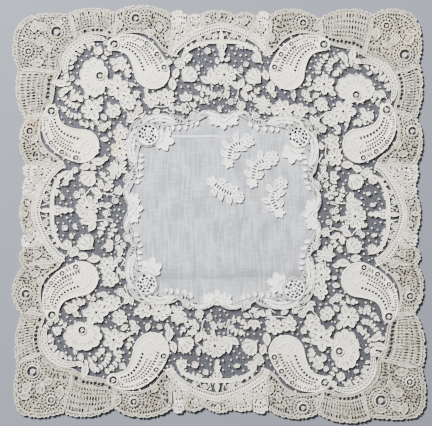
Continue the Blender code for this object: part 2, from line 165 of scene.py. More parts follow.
# Rows of needle holes in each lobe: depth from the edge as a share, the hole's length and width, and the pitch
LOBE_ROWS = {
    "fan": (
        {"depth": 0.035, "long": 1.3, "wide": 1.1, "pitch": 2.4},
        {"depth": 0.14, "long": 3.9, "wide": 1.7, "pitch": 2.6},
        {"depth": 0.29, "long": 2.5, "wide": 1.9, "pitch": 2.7},
        {"depth": 0.44, "long": 3.9, "wide": 1.7, "pitch": 2.6},
        {"depth": 0.57, "long": 2.1, "wide": 1.7, "pitch": 2.4},
        {"depth": 0.67, "long": 2.1, "wide": 1.7, "pitch": 2.4},
        {"depth": 0.84, "long": 3.8, "wide": 3.2, "pitch": 4.0},
    ),
    "wheel": (
        {"depth": 0.035, "long": 1.3, "wide": 1.1, "pitch": 2.4},
        {"depth": 0.15, "long": 3.0, "wide": 1.6, "pitch": 2.7},
        {"depth": 0.86, "long": 3.6, "wide": 2.0, "pitch": 3.4},
    ),
    "bud": (
        {"depth": 0.04, "long": 1.3, "wide": 1.1, "pitch": 2.4},
        {"depth": 0.16, "long": 2.8, "wide": 1.5, "pitch": 2.6},
        {"depth": 0.84, "long": 3.2, "wide": 1.7, "pitch": 2.9},
    ),
    "middle": (
        {"depth": 0.06, "long": 1.3, "wide": 1.1, "pitch": 2.4},
        {"depth": 0.24, "long": 2.6, "wide": 1.6, "pitch": 2.8},
        {"depth": 0.84, "long": 3.0, "wide": 1.7, "pitch": 2.7},
    ),
    "corner": (
        {"depth": 0.022, "long": 1.3, "wide": 1.1, "pitch": 2.4},
        {"depth": 0.085, "long": 2.8, "wide": 1.5, "pitch": 2.7},
        {"depth": 0.82, "long": 3.4, "wide": 1.7, "pitch": 3.0},
        {"depth": 0.92, "long": 2.4, "wide": 1.6, "pitch": 2.6},
    ),
}
# Raised leaves and buds on each lobe: place along it, depth, turn from straight outward, kind, size
LOBE_PADS = {
    "fan": (),
    "wheel": (
        {"along": 0.1, "depth": 0.74, "turn": 24, "kind": "leaf", "size": 11},
        {"along": 0.9, "depth": 0.72, "turn": -28, "kind": "leaf", "size": 13},
        {"along": 0.78, "depth": 0.6, "turn": 8, "kind": "leaf", "size": 10},
        {"along": 0.64, "depth": 0.84, "turn": 60, "kind": "leaf", "size": 10},
        {"along": 0.27, "depth": 0.84, "turn": -40, "kind": "leaf", "size": 9},
    ),
    "bud": (
        {"along": 0.52, "depth": 0.68, "turn": 0, "kind": "fan", "size": 9},
        {"along": 0.16, "depth": 0.66, "turn": 12, "kind": "leaf", "size": 7},
        {"along": 0.86, "depth": 0.66, "turn": -14, "kind": "leaf", "size": 7},
    ),
    "middle": (
        {"along": 0.5, "depth": 0.6, "turn": 0, "kind": "fan", "size": 6.5},
        {"along": 0.24, "depth": 0.66, "turn": 40, "kind": "leaf", "size": 6.5},
        {"along": 0.76, "depth": 0.66, "turn": -40, "kind": "leaf", "size": 6.5},
    ),
    "corner": (
        {"along": 0.16, "depth": 0.62, "turn": 20, "kind": "leaf", "size": 13},
        {"along": 0.3, "depth": 0.34, "turn": 70, "kind": "leaf", "size": 12},
        {"along": 0.5, "depth": 0.3, "turn": -60, "kind": "leaf", "size": 12},
        {"along": 0.5, "depth": 0.62, "turn": 30, "kind": "fan", "size": 12},
        {"along": 0.64, "depth": 0.42, "turn": 10, "kind": "leaf", "size": 14},
        {"along": 0.8, "depth": 0.6, "turn": -30, "kind": "leaf", "size": 13},
        {"along": 0.9, "depth": 0.3, "turn": 50, "kind": "leaf", "size": 11},
        {"along": 0.36, "depth": 0.74, "turn": -30, "kind": "leaf", "size": 11},
        {"along": 0.7, "depth": 0.76, "turn": 40, "kind": "fan", "size": 9},
        {"along": 0.08, "depth": 0.3, "turn": -60, "kind": "leaf", "size": 10},
    ),
}
# Larger openings of the border, in the top left quarter: middle, direction, length and width
GAPS = (
    {"at": (-182, 180), "direction": -35, "length": 4.8, "width": 1.8},
    {"at": (-173, 168), "direction": -40, "length": 6.0, "width": 1.5},
    {"at": (-168, 170), "direction": 75, "length": 5.0, "width": 1.4},
    {"at": (-164.5, 160.5), "direction": 10, "length": 7.0, "width": 1.6},
    {"at": (-177, 154.5), "direction": 30, "length": 4.2, "width": 3.0},
    {"at": (-158, 165), "direction": 10, "length": 4.0, "width": 1.5},
    {"at": (-146.5, 174.5), "direction": 35, "length": 8.0, "width": 1.7},
    {"at": (-112.5, 184.5), "direction": -30, "length": 4.5, "width": 2.8},
    {"at": (-121, 200), "direction": 70, "length": 3.4, "width": 2.0},
    {"at": (-98.5, 184.5), "direction": 0, "length": 6.0, "width": 2.4},
    {"at": (-89, 180.5), "direction": 60, "length": 2.8, "width": 2.6},
    {"at": (-79, 182), "direction": 60, "length": 3.4, "width": 2.4},
    {"at": (-68.5, 176), "direction": -45, "length": 6.0, "width": 1.6},
    {"at": (-66, 196), "direction": 78, "length": 7.0, "width": 1.7},
    {"at": (-58, 184), "direction": 5, "length": 8.0, "width": 2.0},
    {"at": (-53.5, 174.5), "direction": 25, "length": 7.0, "width": 1.6},
    {"at": (-48.5, 190), "direction": 80, "length": 6.0, "width": 1.5},
    {"at": (-37, 188), "direction": 75, "length": 5.5, "width": 1.5},
    {"at": (-34.5, 183), "direction": 10, "length": 6.5, "width": 2.4},
    {"at": (-41.5, 178.5), "direction": 20, "length": 4.0, "width": 2.0},
    {"at": (-23, 187), "direction": 70, "length": 4.5, "width": 1.5},
    {"at": (-18, 190), "direction": 80, "length": 6.0, "width": 1.2},
    {"at": (20, 190), "direction": 100, "length": 6.0, "width": 1.2},
    {"at": (35, 186), "direction": 60, "length": 6.0, "width": 2.2},
    {"at": (51, 188), "direction": 95, "length": 6.0, "width": 2.0},
    {"at": (60, 185), "direction": -20, "length": 7.0, "width": 2.0},
    {"at": (68, 176), "direction": 45, "length": 6.0, "width": 1.6},
    {"at": (80, 182), "direction": 110, "length": 3.4, "width": 2.2},
    {"at": (97, 183), "direction": 20, "length": 5.0, "width": 2.2},
    {"at": (104, 186), "direction": 80, "length": 7.0, "width": 1.5},
    {"at": (150, 186), "direction": 95, "length": 8.0, "width": 1.4},
)
# The openwork between the motifs of the border: distance between rows, and between openings in a row
OPENWORK = {"row": 2.4, "pitch": 2.35, "long": 2.5, "wide": 1.85}
LOBE_KINDS = ("fan", "wheel", "bud", "bud", "middle", "bud", "bud", "wheel", "fan", "corner")
HOLE_MARGIN = 0.4
EDGE_INSET = 0.7

# Ring wheels, in the top left quarter: centre, open ring's outer radius, disc radius, and halo of small holes
WHEELS = (
    {"name": "corner star", "at": (-160, 185.5), "open": 5.5, "disc": 2.4, "halo": 10.0},
    {"name": "corner bud", "at": (-188.5, 167.5), "open": 3.3, "disc": 1.4, "halo": 5.9},
    {"name": "lobe star", "at": (-82.5, 193.7), "open": 4.4, "disc": 1.8, "halo": 7.6},
    {"name": "side star", "at": (-189.5, 83.5), "open": 3.6, "disc": 1.4, "halo": 6.6},
    {"name": "rose eye", "at": (-118.6, 137.2), "open": 3.8, "disc": 1.6, "halo": 0.0},
)

PALMS = (
    {"name": "upper", "tip": (-104, 168), "bend": (-76, 173), "head": (-67, 139)},
    {"name": "lower", "tip": (-168, 104), "bend": (-173, 76), "head": (-139, 67)},
)
PALM_HALF_WIDTHS = (6.0, 13.1, 17.0)
# Where the rows and lines inside a palm begin, clear of the ring in its tip
PALM_START = 0.13
PALM_TIP_RING = {"open": 4.2, "disc": 1.7}
# Rows of holes along a palm: place across its width, first and last place along it, the hole and its pitch
PALM_ROWS = (
    {"across": -0.06, "along": (0.2, 0.86), "long": 2.1, "wide": 1.9, "pitch": 2.5},
    {"across": 0.19, "along": (0.2, 0.86), "long": 2.1, "wide": 1.9, "pitch": 2.5},
    {"across": -0.43, "along": (0.16, 0.92), "long": 2.6, "wide": 2.5, "pitch": 3.4},
    {"across": 0.41, "along": (0.12, 1.0), "long": 1.9, "wide": 3.0, "pitch": 2.8},
)
# Rings in a palm's outer band: place along it, open radius and disc radius
PALM_RINGS = (
    {"place": 0.34, "open": 2.0, "disc": 0.6},
    {"place": 0.56, "open": 2.5, "disc": 0.8},
    {"place": 0.78, "open": 2.8, "disc": 0.9},
    {"place": 0.98, "open": 3.0, "disc": 1.0},
)
PALM_RING_ACROSS = 0.765
PALM_SLITS = 22
PALM_LINES = (0.57, 0.065, -0.17, 0.3)
PALM_VEINS = (-58, -28, 2, 32, 62)

# Flowers: centre, radius, petals, turn in degrees
BLOOMS = (
    {"at": (4.4, 134), "radius": 12.5, "petals": 11, "turn": 0},
    {"at": (-128.3, 104.2), "radius": 11.4, "petals": 6, "turn": 25},
    {"at": (-101.4, 123.5), "radius": 12.6, "petals": 6, "turn": 0},
    {"at": (-93, 108.5), "radius": 8.2, "petals": 5, "turn": 40},
    {"at": (-107.5, 100.5), "radius": 7.0, "petals": 5, "turn": 10},
    {"at": (-101.4, 77.3), "radius": 8.0, "petals": 5, "turn": 60},
    {"at": (-102, 61.5), "radius": 10.4, "petals": 6, "turn": 70},
    {"at": (-70.4, 110.5), "radius": 8.0, "petals": 5, "turn": 15},
    {"at": (-54.5, 113), "radius": 9.8, "petals": 6, "turn": 5},
    {"at": (20.5, 103.5), "radius": 4.6, "petals": 5, "turn": 20},
    {"at": (-39.5, 147), "radius": 5.6, "petals": 6, "turn": 10},
    {"at": (-118, 84), "radius": 4.4, "petals": 5, "turn": 35},
    {"at": (-83, 100), "radius": 4.4, "petals": 5, "turn": 0},
)
# Leaves: foot, direction in degrees, length, half width
LEAVES = (
    {"at": (-9.5, 127.5), "direction": 88, "length": 14, "half": 3.3},
    {"at": (-10, 126), "direction": 146, "length": 11.5, "half": 3.2},
    {"at": (-9, 125.5), "direction": 32, "length": 11, "half": 3.1},
    {"at": (18.5, 121), "direction": 62, "length": 10.5, "half": 3.2},
    {"at": (17.5, 119.5), "direction": 115, "length": 8.5, "half": 2.6},
    {"at": (21, 118), "direction": -52, "length": 9.5, "half": 2.7},
    {"at": (22.5, 120), "direction": 8, "length": 9.0, "half": 2.6},
    {"at": (-35.5, 108.5), "direction": 128, "length": 8, "half": 2.4},
    {"at": (-34.5, 108.5), "direction": 92, "length": 9.5, "half": 2.7},
    {"at": (-33.5, 108.5), "direction": 52, "length": 8, "half": 2.4},
    {"at": (41, 105), "direction": 125, "length": 8, "half": 2.4},
    {"at": (42, 105), "direction": 88, "length": 9.5, "half": 2.7},
    {"at": (43, 105), "direction": 50, "length": 8, "half": 2.4},
    {"at": (-47, 120), "direction": 95, "length": 13, "half": 3.6},
    {"at": (-45.5, 132), "direction": 70, "length": 11, "half": 3.2},
    {"at": (49, 117), "direction": 80, "length": 13, "half": 3.6},
    {"at": (47, 130), "direction": 105, "length": 11, "half": 3.2},
    {"at": (-88, 91), "direction": 140, "length": 8.5, "half": 2.5},
    {"at": (-88, 91), "direction": 75, "length": 8.5, "half": 2.5},
    {"at": (-88, 91), "direction": 200, "length": 8.5, "half": 2.5},
    {"at": (-104.5, 141), "direction": 60, "length": 7.5, "half": 2.6},
    {"at": (-101.5, 148.5), "direction": 55, "length": 8, "half": 2.6},
    {"at": (-94.5, 139), "direction": 20, "length": 7.5, "half": 2.3},
    {"at": (-104.5, 44), "direction": 150, "length": 7.5, "half": 2.3},
    {"at": (-104.5, 43), "direction": 205, "length": 8, "half": 2.3},
    {"at": (-103.5, 42), "direction": 268, "length": 8.5, "half": 2.4},
    {"at": (-102.5, 43), "direction": 320, "length": 8, "half": 2.3},
    {"at": (-102.5, 44.5), "direction": 25, "length": 7.5, "half": 2.3},
    {"at": (-152, 131), "direction": 165, "length": 15, "half": 3.4},
    {"at": (-150, 127), "direction": 205, "length": 12, "half": 2.8},
    {"at": (-118, 116), "direction": 250, "length": 8, "half": 2.4},
    {"at": (-137, 113), "direction": 130, "length": 8, "half": 2.3},
    {"at": (-118.5, 98), "direction": 300, "length": 7.5, "half": 2.3},
    {"at": (-111, 90), "direction": 240, "length": 7.5, "half": 2.2},
    {"at": (-83, 120), "direction": 250, "length": 8.5, "half": 2.5},
    {"at": (-62, 99.5), "direction": 200, "length": 8, "half": 2.3},
    {"at": (-46, 103), "direction": 330, "length": 8, "half": 2.3},
    {"at": (-92, 70), "direction": 300, "length": 8, "half": 2.3},
    {"at": (-113, 71), "direction": 165, "length": 7.5, "half": 2.2},
    {"at": (-113, 53), "direction": 190, "length": 7.5, "half": 2.2},
    {"at": (6, 118), "direction": 275, "length": 8, "half": 2.3},
    {"at": (32, 108), "direction": 20, "length": 7, "half": 2.1},
    {"at": (-24, 103), "direction": 160, "length": 7, "half": 2.1},
)
# Leaves that open like a fan: foot, direction, radius, spread in degrees, ribs
FANS = (
    {"at": (-37, 129), "direction": 42, "radius": 16, "spread": 104, "ribs": 8},
    {"at": (40, 127), "direction": 138, "radius": 16, "spread": 104, "ribs": 8},
    {"at": (-38, 149), "direction": 38, "radius": 11, "spread": 84, "ribs": 5},
    {"at": (42, 148), "direction": 142, "radius": 11, "spread": 84, "ribs": 5},
    {"at": (-57, 124), "direction": 108, "radius": 11, "spread": 96, "ribs": 5},
    {"at": (59, 122), "direction": 76, "radius": 11, "spread": 96, "ribs": 5},
    {"at": (-118, 167), "direction": 250, "radius": 9, "spread": 90, "ribs": 4},
    {"at": (-96, 141), "direction": 100, "radius": 9, "spread": 84, "ribs": 4},
)
# Wheat ears: an arc of small paired leaves, from foot over bend to tip
EARS = (
    {"foot": (-136, 114), "bend": (-147, 124), "tip": (-153, 137), "pairs": 6},
    {"foot": (-140, 108), "bend": (-150, 111), "tip": (-158, 121), "pairs": 6},
    {"foot": (-137, 98), "bend": (-147, 99), "tip": (-156, 106), "pairs": 5},
    {"foot": (-116, 152), "bend": (-112, 158), "tip": (-108, 164), "pairs": 3},
    {"foot": (-92, 133), "bend": (-90, 142), "tip": (-95, 152), "pairs": 4},
    {"foot": (-120, 92), "bend": (-127, 88), "tip": (-134, 89), "pairs": 3},
    {"foot": (-10.5, 113), "bend": (-14, 119), "tip": (-22, 121), "pairs": 4},
    {"foot": (-10.5, 110), "bend": (-18, 108), "tip": (-24, 111), "pairs": 3},
    {"foot": (22, 111), "bend": (30, 112), "tip": (37, 119), "pairs": 4},
    {"foot": (-36, 160), "bend": (-26, 165), "tip": (-16, 165), "pairs": 4},
    {"foot": (40, 158), "bend": (30, 163), "tip": (20, 163.5), "pairs": 4},
)
# Tendrils: eye of the spiral, outer radius, turns, start angle, and the point the stem grows from
TENDRILS = (
    {"eye": (-1.5, 115), "radius": 3.0, "turns": 1.4, "start": 200, "stem": (-9, 108)},
    {"eye": (10.5, 106.5), "radius": 3.4, "turns": 1.5, "start": 60, "stem": (18, 117)},
    {"eye": (20.4, 139), "radius": 3.0, "turns": 1.4, "start": 250, "stem": (24, 130)},
    {"eye": (7.7, 120.5), "radius": 2.4, "turns": 1.2, "start": 100, "stem": (13, 124)},
    {"eye": (30, 121.5), "radius": 2.6, "turns": 1.3, "start": 160, "stem": (24, 117)},
    {"eye": (-10, 173.5), "radius": 3.2, "turns": 1.4, "start": 0, "stem": (-3, 178)},
    {"eye": (-20, 170.5), "radius": 2.8, "turns": 1.3, "start": 20, "stem": (-13, 176)},
    {"eye": (14, 173.5), "radius": 3.2, "turns": -1.4, "start": 180, "stem": (7, 178)},
    {"eye": (24, 170.5), "radius": 2.8, "turns": -1.3, "start": 160, "stem": (17, 176)},
    {"eye": (-143, 157), "radius": 3.2, "turns": 1.5, "start": 120, "stem": (-148, 163)},
    {"eye": (-136, 164), "radius": 2.8, "turns": 1.4, "start": 90, "stem": (-139, 170)},
    {"eye": (-128, 167), "radius": 2.4, "turns": 1.3, "start": 60, "stem": (-129, 172)},
    {"eye": (-78, 91.5), "radius": 2.8, "turns": 1.4, "start": 120, "stem": (-86, 92)},
    {"eye": (-34, 98), "radius": 2.8, "turns": 1.4, "start": 60, "stem": (-34, 107)},
    {"eye": (-91, 51), "radius": 2.8, "turns": 1.4, "start": 120, "stem": (-99, 50)},
    {"eye": (-88, 126), "radius": 2.4, "turns": 1.2, "start": 30, "stem": (-95, 131)},
)
STEMS = (
    ((-9.2, 128), (-8.5, 118), (-10.5, 108)),
    ((19, 122), (17, 112), (22, 104)),
    ((4.4, 124), (5, 118), (0, 110)),
    ((-101, 113), (-99, 104), (-90, 93)),
    ((-128, 95), (-122, 88), (-112, 84)),
    ((-104, 71), (-106, 58), (-104, 44)),
    ((-70, 104), (-58, 103), (-46, 106)),
)
RIPPLE_LEAF = {"length": 3.6, "half": 1.25, "spread": 48}

# The cartouche in the middle of a side: the outer ladder arch and the plain arch under it
LADDER_ARCH = (
    (-45, 155), (-42.5, 160.5), (-33, 168.3), (-22, 174.5), (-11, 179), (2, 182),
    (15, 179), (26, 174.5), (37, 168.3), (45, 160.5), (47.5, 155),
)
PLAIN_ARCH = (
    (-37, 152), (-34, 158), (-25, 164), (-14, 167.3), (-4, 168),
    (8, 168), (18, 167.3), (29, 164), (38, 158), (41, 152),
)
BAND_SLIT = {"long": 2.6, "wide": 1.0, "pitch": 3.4}
HORN = {"centre": (-125, 148), "radius": 27.6, "angles": (205, 66)}
SPIRE = {"foot": (2, 147.5), "tip": (2, 181), "half": 4.4}
SPIRE_ROWS = (
    (0.0, 0.14), (0.08, 0.5), (0.14, 0.2), (0.22, 0.72), (0.3, 0.42), (0.44, 1.0),
    (0.52, 1.0), (0.58, 0.55), (0.68, 0.3), (0.76, 0.5), (0.83, 0.46), (0.9, 0.22),
)

# Sprays worked on the lawn, in the cloth's own frame: an openwork stem from foot over bend to head
SPRAYS = (
    {"foot": (10, 52), "bend": (14, 66), "head": (29, 72), "radius": 7.0, "turn": 10},
    {"foot": (34, 32), "bend": (38, 48), "head": (53, 54), "radius": 7.5, "turn": 30},
    {"foot": (60, 2), "bend": (54, 15), "head": (62, 29), "radius": 7.0, "turn": 0},
    {"foot": (-5, 30), "bend": (6, 22), "head": (20, 16), "radius": 6.5, "turn": 20},
)
SPRAY_LEAF = {"length": 9.5, "half": 2.6, "every": 5}

# Random draws
NET_SEED = 11
BORDER_SEED = 5
KNOT_SEED = 23
MASK_STEP = 0.5
MASK_REACH = 214.0


# Plan geometry

def turned(points, quarters):
    """Points after that many clockwise quarter turns about the pattern's middle."""
    points = np.asarray(points, float)
    for _ in range(quarters % 4):
        points = np.stack([points[..., 1], -points[..., 0]], -1)
    return points


def settled(points):
    """Points as the hand-laid cloth carries them, from the pulls of the landmarks near them."""
    points = np.asarray(points, float)
    weight = np.full(len(points), PULL_HOLD)
    shift = np.zeros_like(points)
    for mark in LANDMARKS:
        for quarter, pull in enumerate(mark["pulls"]):
            away = points - turned(mark["at"], quarter)
            near = np.exp(-((away**2).sum(1) / PULL_REACH**2))
            weight += near
            shift += near[:, None] * np.array(pull)
    return points + shift / weight[:, None]


def lobe_points(side, number):
    """One lobe of a side's edge, from its first valley up to its last, as (along, out)."""
    start, finish = side["valleys"][number], side["valleys"][number + 1]
    peak = side["peaks"][number]
    steps = max(6, round((finish[0] - start[0]) / 2.0))
    share = np.arange(steps) / steps
    floor = start[1] + (finish[1] - start[1]) * share
    rise = (peak - (start[1] + finish[1]) / 2) * np.sin(np.pi * share) ** 0.62
    return np.stack([start[0] + (finish[0] - start[0]) * share, floor + rise], 1)


def corner_points(number):
    """The rounded lobe at the corner after a side, as (along, out) of that side."""
    corner, before, after = CORNERS[number], SIDES[number], SIDES[(number + 1) % 4]
    start_along, start_out = before["valleys"][-1]
    after_along, after_out = after["valleys"][0]
    steps = 44
    angle = np.pi / 2 * (1 - np.arange(steps) / steps)
    power = 2 / corner["square"]
    along = start_along + (corner["out_after"] - start_along) * np.cos(angle) ** power
    out = -after_along + (corner["out_before"] + after_along) * np.sin(angle) ** power
    dip_before = (corner["out_before"] - start_out) * np.exp((start_along - along) / DIP_REACH)
    dip_after = (corner["out_after"] - after_out) * np.exp((-after_along - out) / DIP_REACH)
    return np.stack([along - dip_after, out - dip_before], 1)


def edge_runs(side):
    """A side's lobes and the corner after it, each as its run of the cloth's edge, in the cloth's frame."""
    runs = [lobe_points(SIDES[side], number) for number in range(9)] + [corner_points(side)]
    last = turned(SIDES[(side + 1) % 4]["valleys"][0], side + 1)
    runs = [turned(run, side) for run in runs]
    ends = [run[0] for run in runs[1:]] + [last]
    return [np.vstack([run, end]) for run, end in zip(runs, ends)]


@functools.cache
def edge_path():
    """The cloth's edge without its picots, clockwise."""
    return np.vstack([run[:-1] for side in range(4) for run in edge_runs(side)])


def lengths_along(path):
    steps = np.linalg.norm(np.diff(path, axis=0), axis=1)
    return np.concatenate([[0], np.cumsum(steps)])


def resampled(path, count, closed=False):
    """count points at equal steps along a path. A closed path's last point isn't repeated."""
    path = np.asarray(path, float)
    if closed:
        path = np.vstack([path, path[:1]])
    along = lengths_along(path)
    targets = np.linspace(0, along[-1], count, endpoint=not closed)
    return np.stack([np.interp(targets, along, path[:, axis]) for axis in (0, 1)], 1)


def curved(points, steps=6):
    """A smooth path through points."""
    points = np.asarray(points, float)
    ends = np.vstack([2 * points[0] - points[1], points, 2 * points[-1] - points[-2]])
    parts = []
    for a, b, c, d in zip(ends, ends[1:], ends[2:], ends[3:]):
        t = np.arange(steps)[:, None] / steps
        parts.append(
            0.5 * (2 * b + (c - a) * t + (2 * a - 5 * b + 4 * c - d) * t**2 + (3 * b - a - 3 * c + d) * t**3)
        )
    return np.vstack(parts + [points[-1:]])


def sideways(path, closed=False):
    """Unit vectors to the left of a path at each of its points."""
    if closed:
        ahead = np.roll(path, -1, 0) - np.roll(path, 1, 0)
    else:
        ahead = np.gradient(path, axis=0)
    ahead /= np.maximum(np.linalg.norm(ahead, axis=1), 1e-9)[:, None]
    return np.stack([-ahead[:, 1], ahead[:, 0]], 1)


def shifted(path, distance, closed=False):
    """A path moved to its left."""
    return path + sideways(path, closed) * np.broadcast_to(distance, len(path))[:, None]


def arc(centre, radius, start, finish, steps=16):
    angle = np.radians(np.linspace(start, finish, steps + 1))
    return np.stack([centre[0] + radius * np.cos(angle), centre[1] + radius * np.sin(angle)], 1)


def circle(centre, radius, steps=12, turn=0.0):
    angle = np.arange(steps) * math.tau / steps + turn
    return np.stack([centre[0] + radius * np.cos(angle), centre[1] + radius * np.sin(angle)], 1)


def slot(centre, direction, length, width):
    """A needle hole: a six-sided slot, with direction in radians."""
    ahead = np.array([math.cos(direction), math.sin(direction)])
    left = np.array([-ahead[1], ahead[0]])
    corners = ((0.5, 0.12), (0.36, 0.5), (-0.36, 0.5), (-0.5, -0.12), (-0.36, -0.5), (0.36, -0.5))
    return np.array([centre + ahead * length * a + left * width * b for a, b in corners])


def picots(run, inset=0.0):
    """A lobe's edge with its picots: small loops of thread, a few millimetres apart."""
    count = max(2, round(lengths_along(run)[-1] / PICOT_PITCH))
    even = resampled(run, count * PICOT_STEPS + 1)
    place = np.arange(len(even)) / PICOT_STEPS
    drift = 0.3 * np.sin(place * 2.3 + run[0, 0]) * np.sin(np.pi * place / count)
    bump = np.abs(np.sin(np.pi * (place + drift))) ** 0.9
    rise = PICOT_RISE * (0.75 + 0.35 * np.sin(place * 1.7 + run[0, 1]))
    return shifted(even, rise * (bump - 1) + PICOT_OUT - inset)


def frame_line(half):
    """A closed line of the frame round the lawn, clockwise, from one half side."""
    shift = np.array([FRAME_CUSP_SHIFT, 0])
    right = np.array(half[:-1], float)
    left = right[:0:-1] * (-1, 1)
    corner = np.array([half[-1]], float)
    side = np.vstack([left + shift, right + shift])
    return np.vstack([turned(np.vstack([side, corner]), quarter) for quarter in range(4)])


def inside(points, outline):
    """Which points lie in an outline, by the even-odd rule."""
    ends = np.roll(outline, -1, 0)
    x, y = points[:, 0, None], points[:, 1, None]
    crosses = (outline[:, 1] > y) != (ends[:, 1] > y)
    rise = np.where(ends[:, 1] == outline[:, 1], 1e-9, ends[:, 1] - outline[:, 1])
    at = outline[:, 0] + (y - outline[:, 1]) * (ends[:, 0] - outline[:, 0]) / rise
    return (crosses & (x < at)).sum(1) % 2 == 1


def clearance(points, outline):
    """The distance from each point to the nearest side of an outline."""
    ends = np.roll(outline, -1, 0)
    run = ends - outline
    away = points[:, None] - outline
    share = np.clip((away * run).sum(2) / np.maximum((run**2).sum(1), 1e-9), 0, 1)
    return np.sqrt(((away - share[..., None] * run) ** 2).sum(2)).min(1)


# Needlework

class Work:
    """Needlework in plan: filled cloth with its holes, and cords laid on it, in the top left quarter."""

    def __init__(self, low=MOTIF_LOW, high=MOTIF_HIGH):
        self.cloths = []
        self.cords = []
        self.low = low
        self.high = high

    def cloth(self, outline, holes=(), low=None, high=None):
        low = self.low if low is None else low
        high = self.high if high is None else high
        self.cloths.append((np.asarray(outline, float), [np.asarray(h, float) for h in holes], low, high))

    def cord(self, path, radius=0.45, height=None, closed=False):
        height = self.high if height is None else height
        self.cords.append((np.asarray(path, float), radius, height, closed))

    def add(self, other):
        self.cloths += other.cloths
        self.cords += other.cords


def clear_holes(holes, outline, margin=HOLE_MARGIN):
    """The holes that lie wholly in an outline and clear of the ones before them."""
    if not holes:
        return []
    corners = np.vstack(holes)
    good = inside(corners, outline) & (clearance(corners, outline) > margin)
    kept = []
    centres, reaches = np.zeros((len(holes), 2)), np.zeros(len(holes))
    start = 0
    for hole in holes:
        fits = good[start : start + len(hole)].all()
        start += len(hole)
        if not fits:
            continue
        centre = hole.mean(0)
        reach = np.linalg.norm(hole - centre, axis=1).max()
        corners_near = outline[np.linalg.norm(outline - centre, axis=1) < reach + margin]
        if len(corners_near) and (
            inside(corners_near, hole).any() or clearance(corners_near, hole).min() < margin * 0.6
        ):
            continue
        away = np.linalg.norm(centres[: len(kept)] - centre, axis=1)
        near = np.flatnonzero(away < reaches[: len(kept)] + reach + margin)
        if any(away[other] < 0.8 * margin + min(reach, reaches[other]) or touching(hole, kept[other], margin * 0.8)
               for other in near):
            continue
        centres[len(kept)] = centre
        reaches[len(kept)] = reach
        kept.append(hole)
    return kept


def touching(one, other, margin):
    """Whether two outlines overlap or come nearer than a margin."""
    one_finer, other_finer = (np.vstack([loop, (loop + np.roll(loop, -1, 0)) / 2]) for loop in (one, other))
    return (
        inside(one_finer, other).any()
        or inside(other_finer, one).any()
        or clearance(one_finer, other).min() < margin
        or clearance(other_finer, one).min() < margin
    )


def scattered(rng, outline, pitch):
    """Places spread unevenly over an outline, about pitch apart."""
    low, high = outline.min(0), outline.max(0)
    columns, rows = np.ceil((high - low) / pitch).astype(int) + 1
    grid = np.stack(np.meshgrid(np.arange(columns), np.arange(rows)), -1).reshape(-1, 2).astype(float)
    grid[:, 0] += grid[:, 1] % 2 * 0.5
    places = low + (grid + rng.uniform(-0.3, 0.3, grid.shape)) * pitch
    return places[inside(places, outline)]


def bloom(work, at, radius, petals, turn=0.0, notch=0.4, heart=0.2):
    """A flower: uneven petals, some round and some pointed, a slit in each, and a small ring at its heart."""
    rng = np.random.default_rng(int(abs(at[0]) * 7 + abs(at[1]) * 13) + petals)
    at = np.array(at, float)
    step = math.tau / petals
    outline, holes = [], []
    for petal in range(petals):
        start = math.radians(turn) + step * (petal + rng.uniform(-0.07, 0.07))
        length = radius * rng.uniform(0.86, 1.1)
        power = 1.0 if rng.uniform() < 0.35 else 0.5
        for share in (0.0, 0.13, 0.32, 0.5, 0.68, 0.87):
            dip = 0.07 if power < 1 and share == 0.5 else 0.0
            reach = length * (1 - notch * (1 - math.sin(math.pi * share) ** power) - dip)
            angle = start + step * share
            outline.append(at + reach * np.array([math.cos(angle), math.sin(angle)]))
        middle = start + step / 2
        ahead = np.array([math.cos(middle), math.sin(middle)])
        holes.append(slot(at + ahead * length * 0.58, middle, length * 0.4, 0.9))
        work.cord([at + ahead * radius * 0.25, at + ahead * length * 0.4], 0.25)
    if heart:
        holes.append(circle(at, radius * heart * 0.6, 6))
        work.cord(circle(at, radius * heart, 10), 0.5, work.high + 0.1, closed=True)
    outline = np.array(outline)
    work.cloth(outline, clear_holes(holes, outline, 0.3))
    work.cord(outline, 0.42, closed=True)


def maple(work, at, direction, size):
    """A broad leaf of five pointed lobes, with a vein to each."""
    at = np.array(at, float)

    def spot(turn, reach):
        angle = math.radians(direction + turn)
        return at + size * reach * np.array([math.cos(angle), math.sin(angle)])

    outline = [spot(-150, 0.22)]
    for turn, reach in ((-92, 0.66), (-46, 0.9), (0, 1.0), (46, 0.9), (92, 0.66)):
        outline += [spot(turn - 23, 0.6 * reach + 0.06), spot(turn - 13, reach * 0.86), spot(turn, reach)]
        outline += [spot(turn + 13, reach * 0.86)]
        work.cord([spot(turn, 0.12), spot(turn, reach * 0.8)], 0.28)
    outline += [spot(115, 0.36), spot(150, 0.22)]
    work.cloth(outline)
    work.cord(outline, 0.4, closed=True)


def leaf(work, at, direction, length, half, vein=True, steps=6):
    """A pointed leaf that grows from at, with a slit for its midrib."""
    heading = math.radians(direction)
    ahead = np.array([math.cos(heading), math.sin(heading)])
    left = np.array([-ahead[1], ahead[0]])
    share = np.arange(steps) / steps
    wide = half * np.sin(np.pi * share**0.85)
    there = np.array(at) + ahead * (length * share)[:, None] + left * wide[:, None]
    tip = np.array(at) + ahead * length
    back = np.array(at) + ahead * (length * share)[:, None] - left * wide[:, None]
    outline = np.vstack([there, tip, back[:0:-1]])
    holes = [slot(np.array(at) + ahead * length * 0.48, heading, length * 0.55, 0.75)] if vein else []
    work.cloth(outline, clear_holes(holes, outline, 0.3))
    work.cord(outline, 0.34 if vein else 0.26, closed=True)


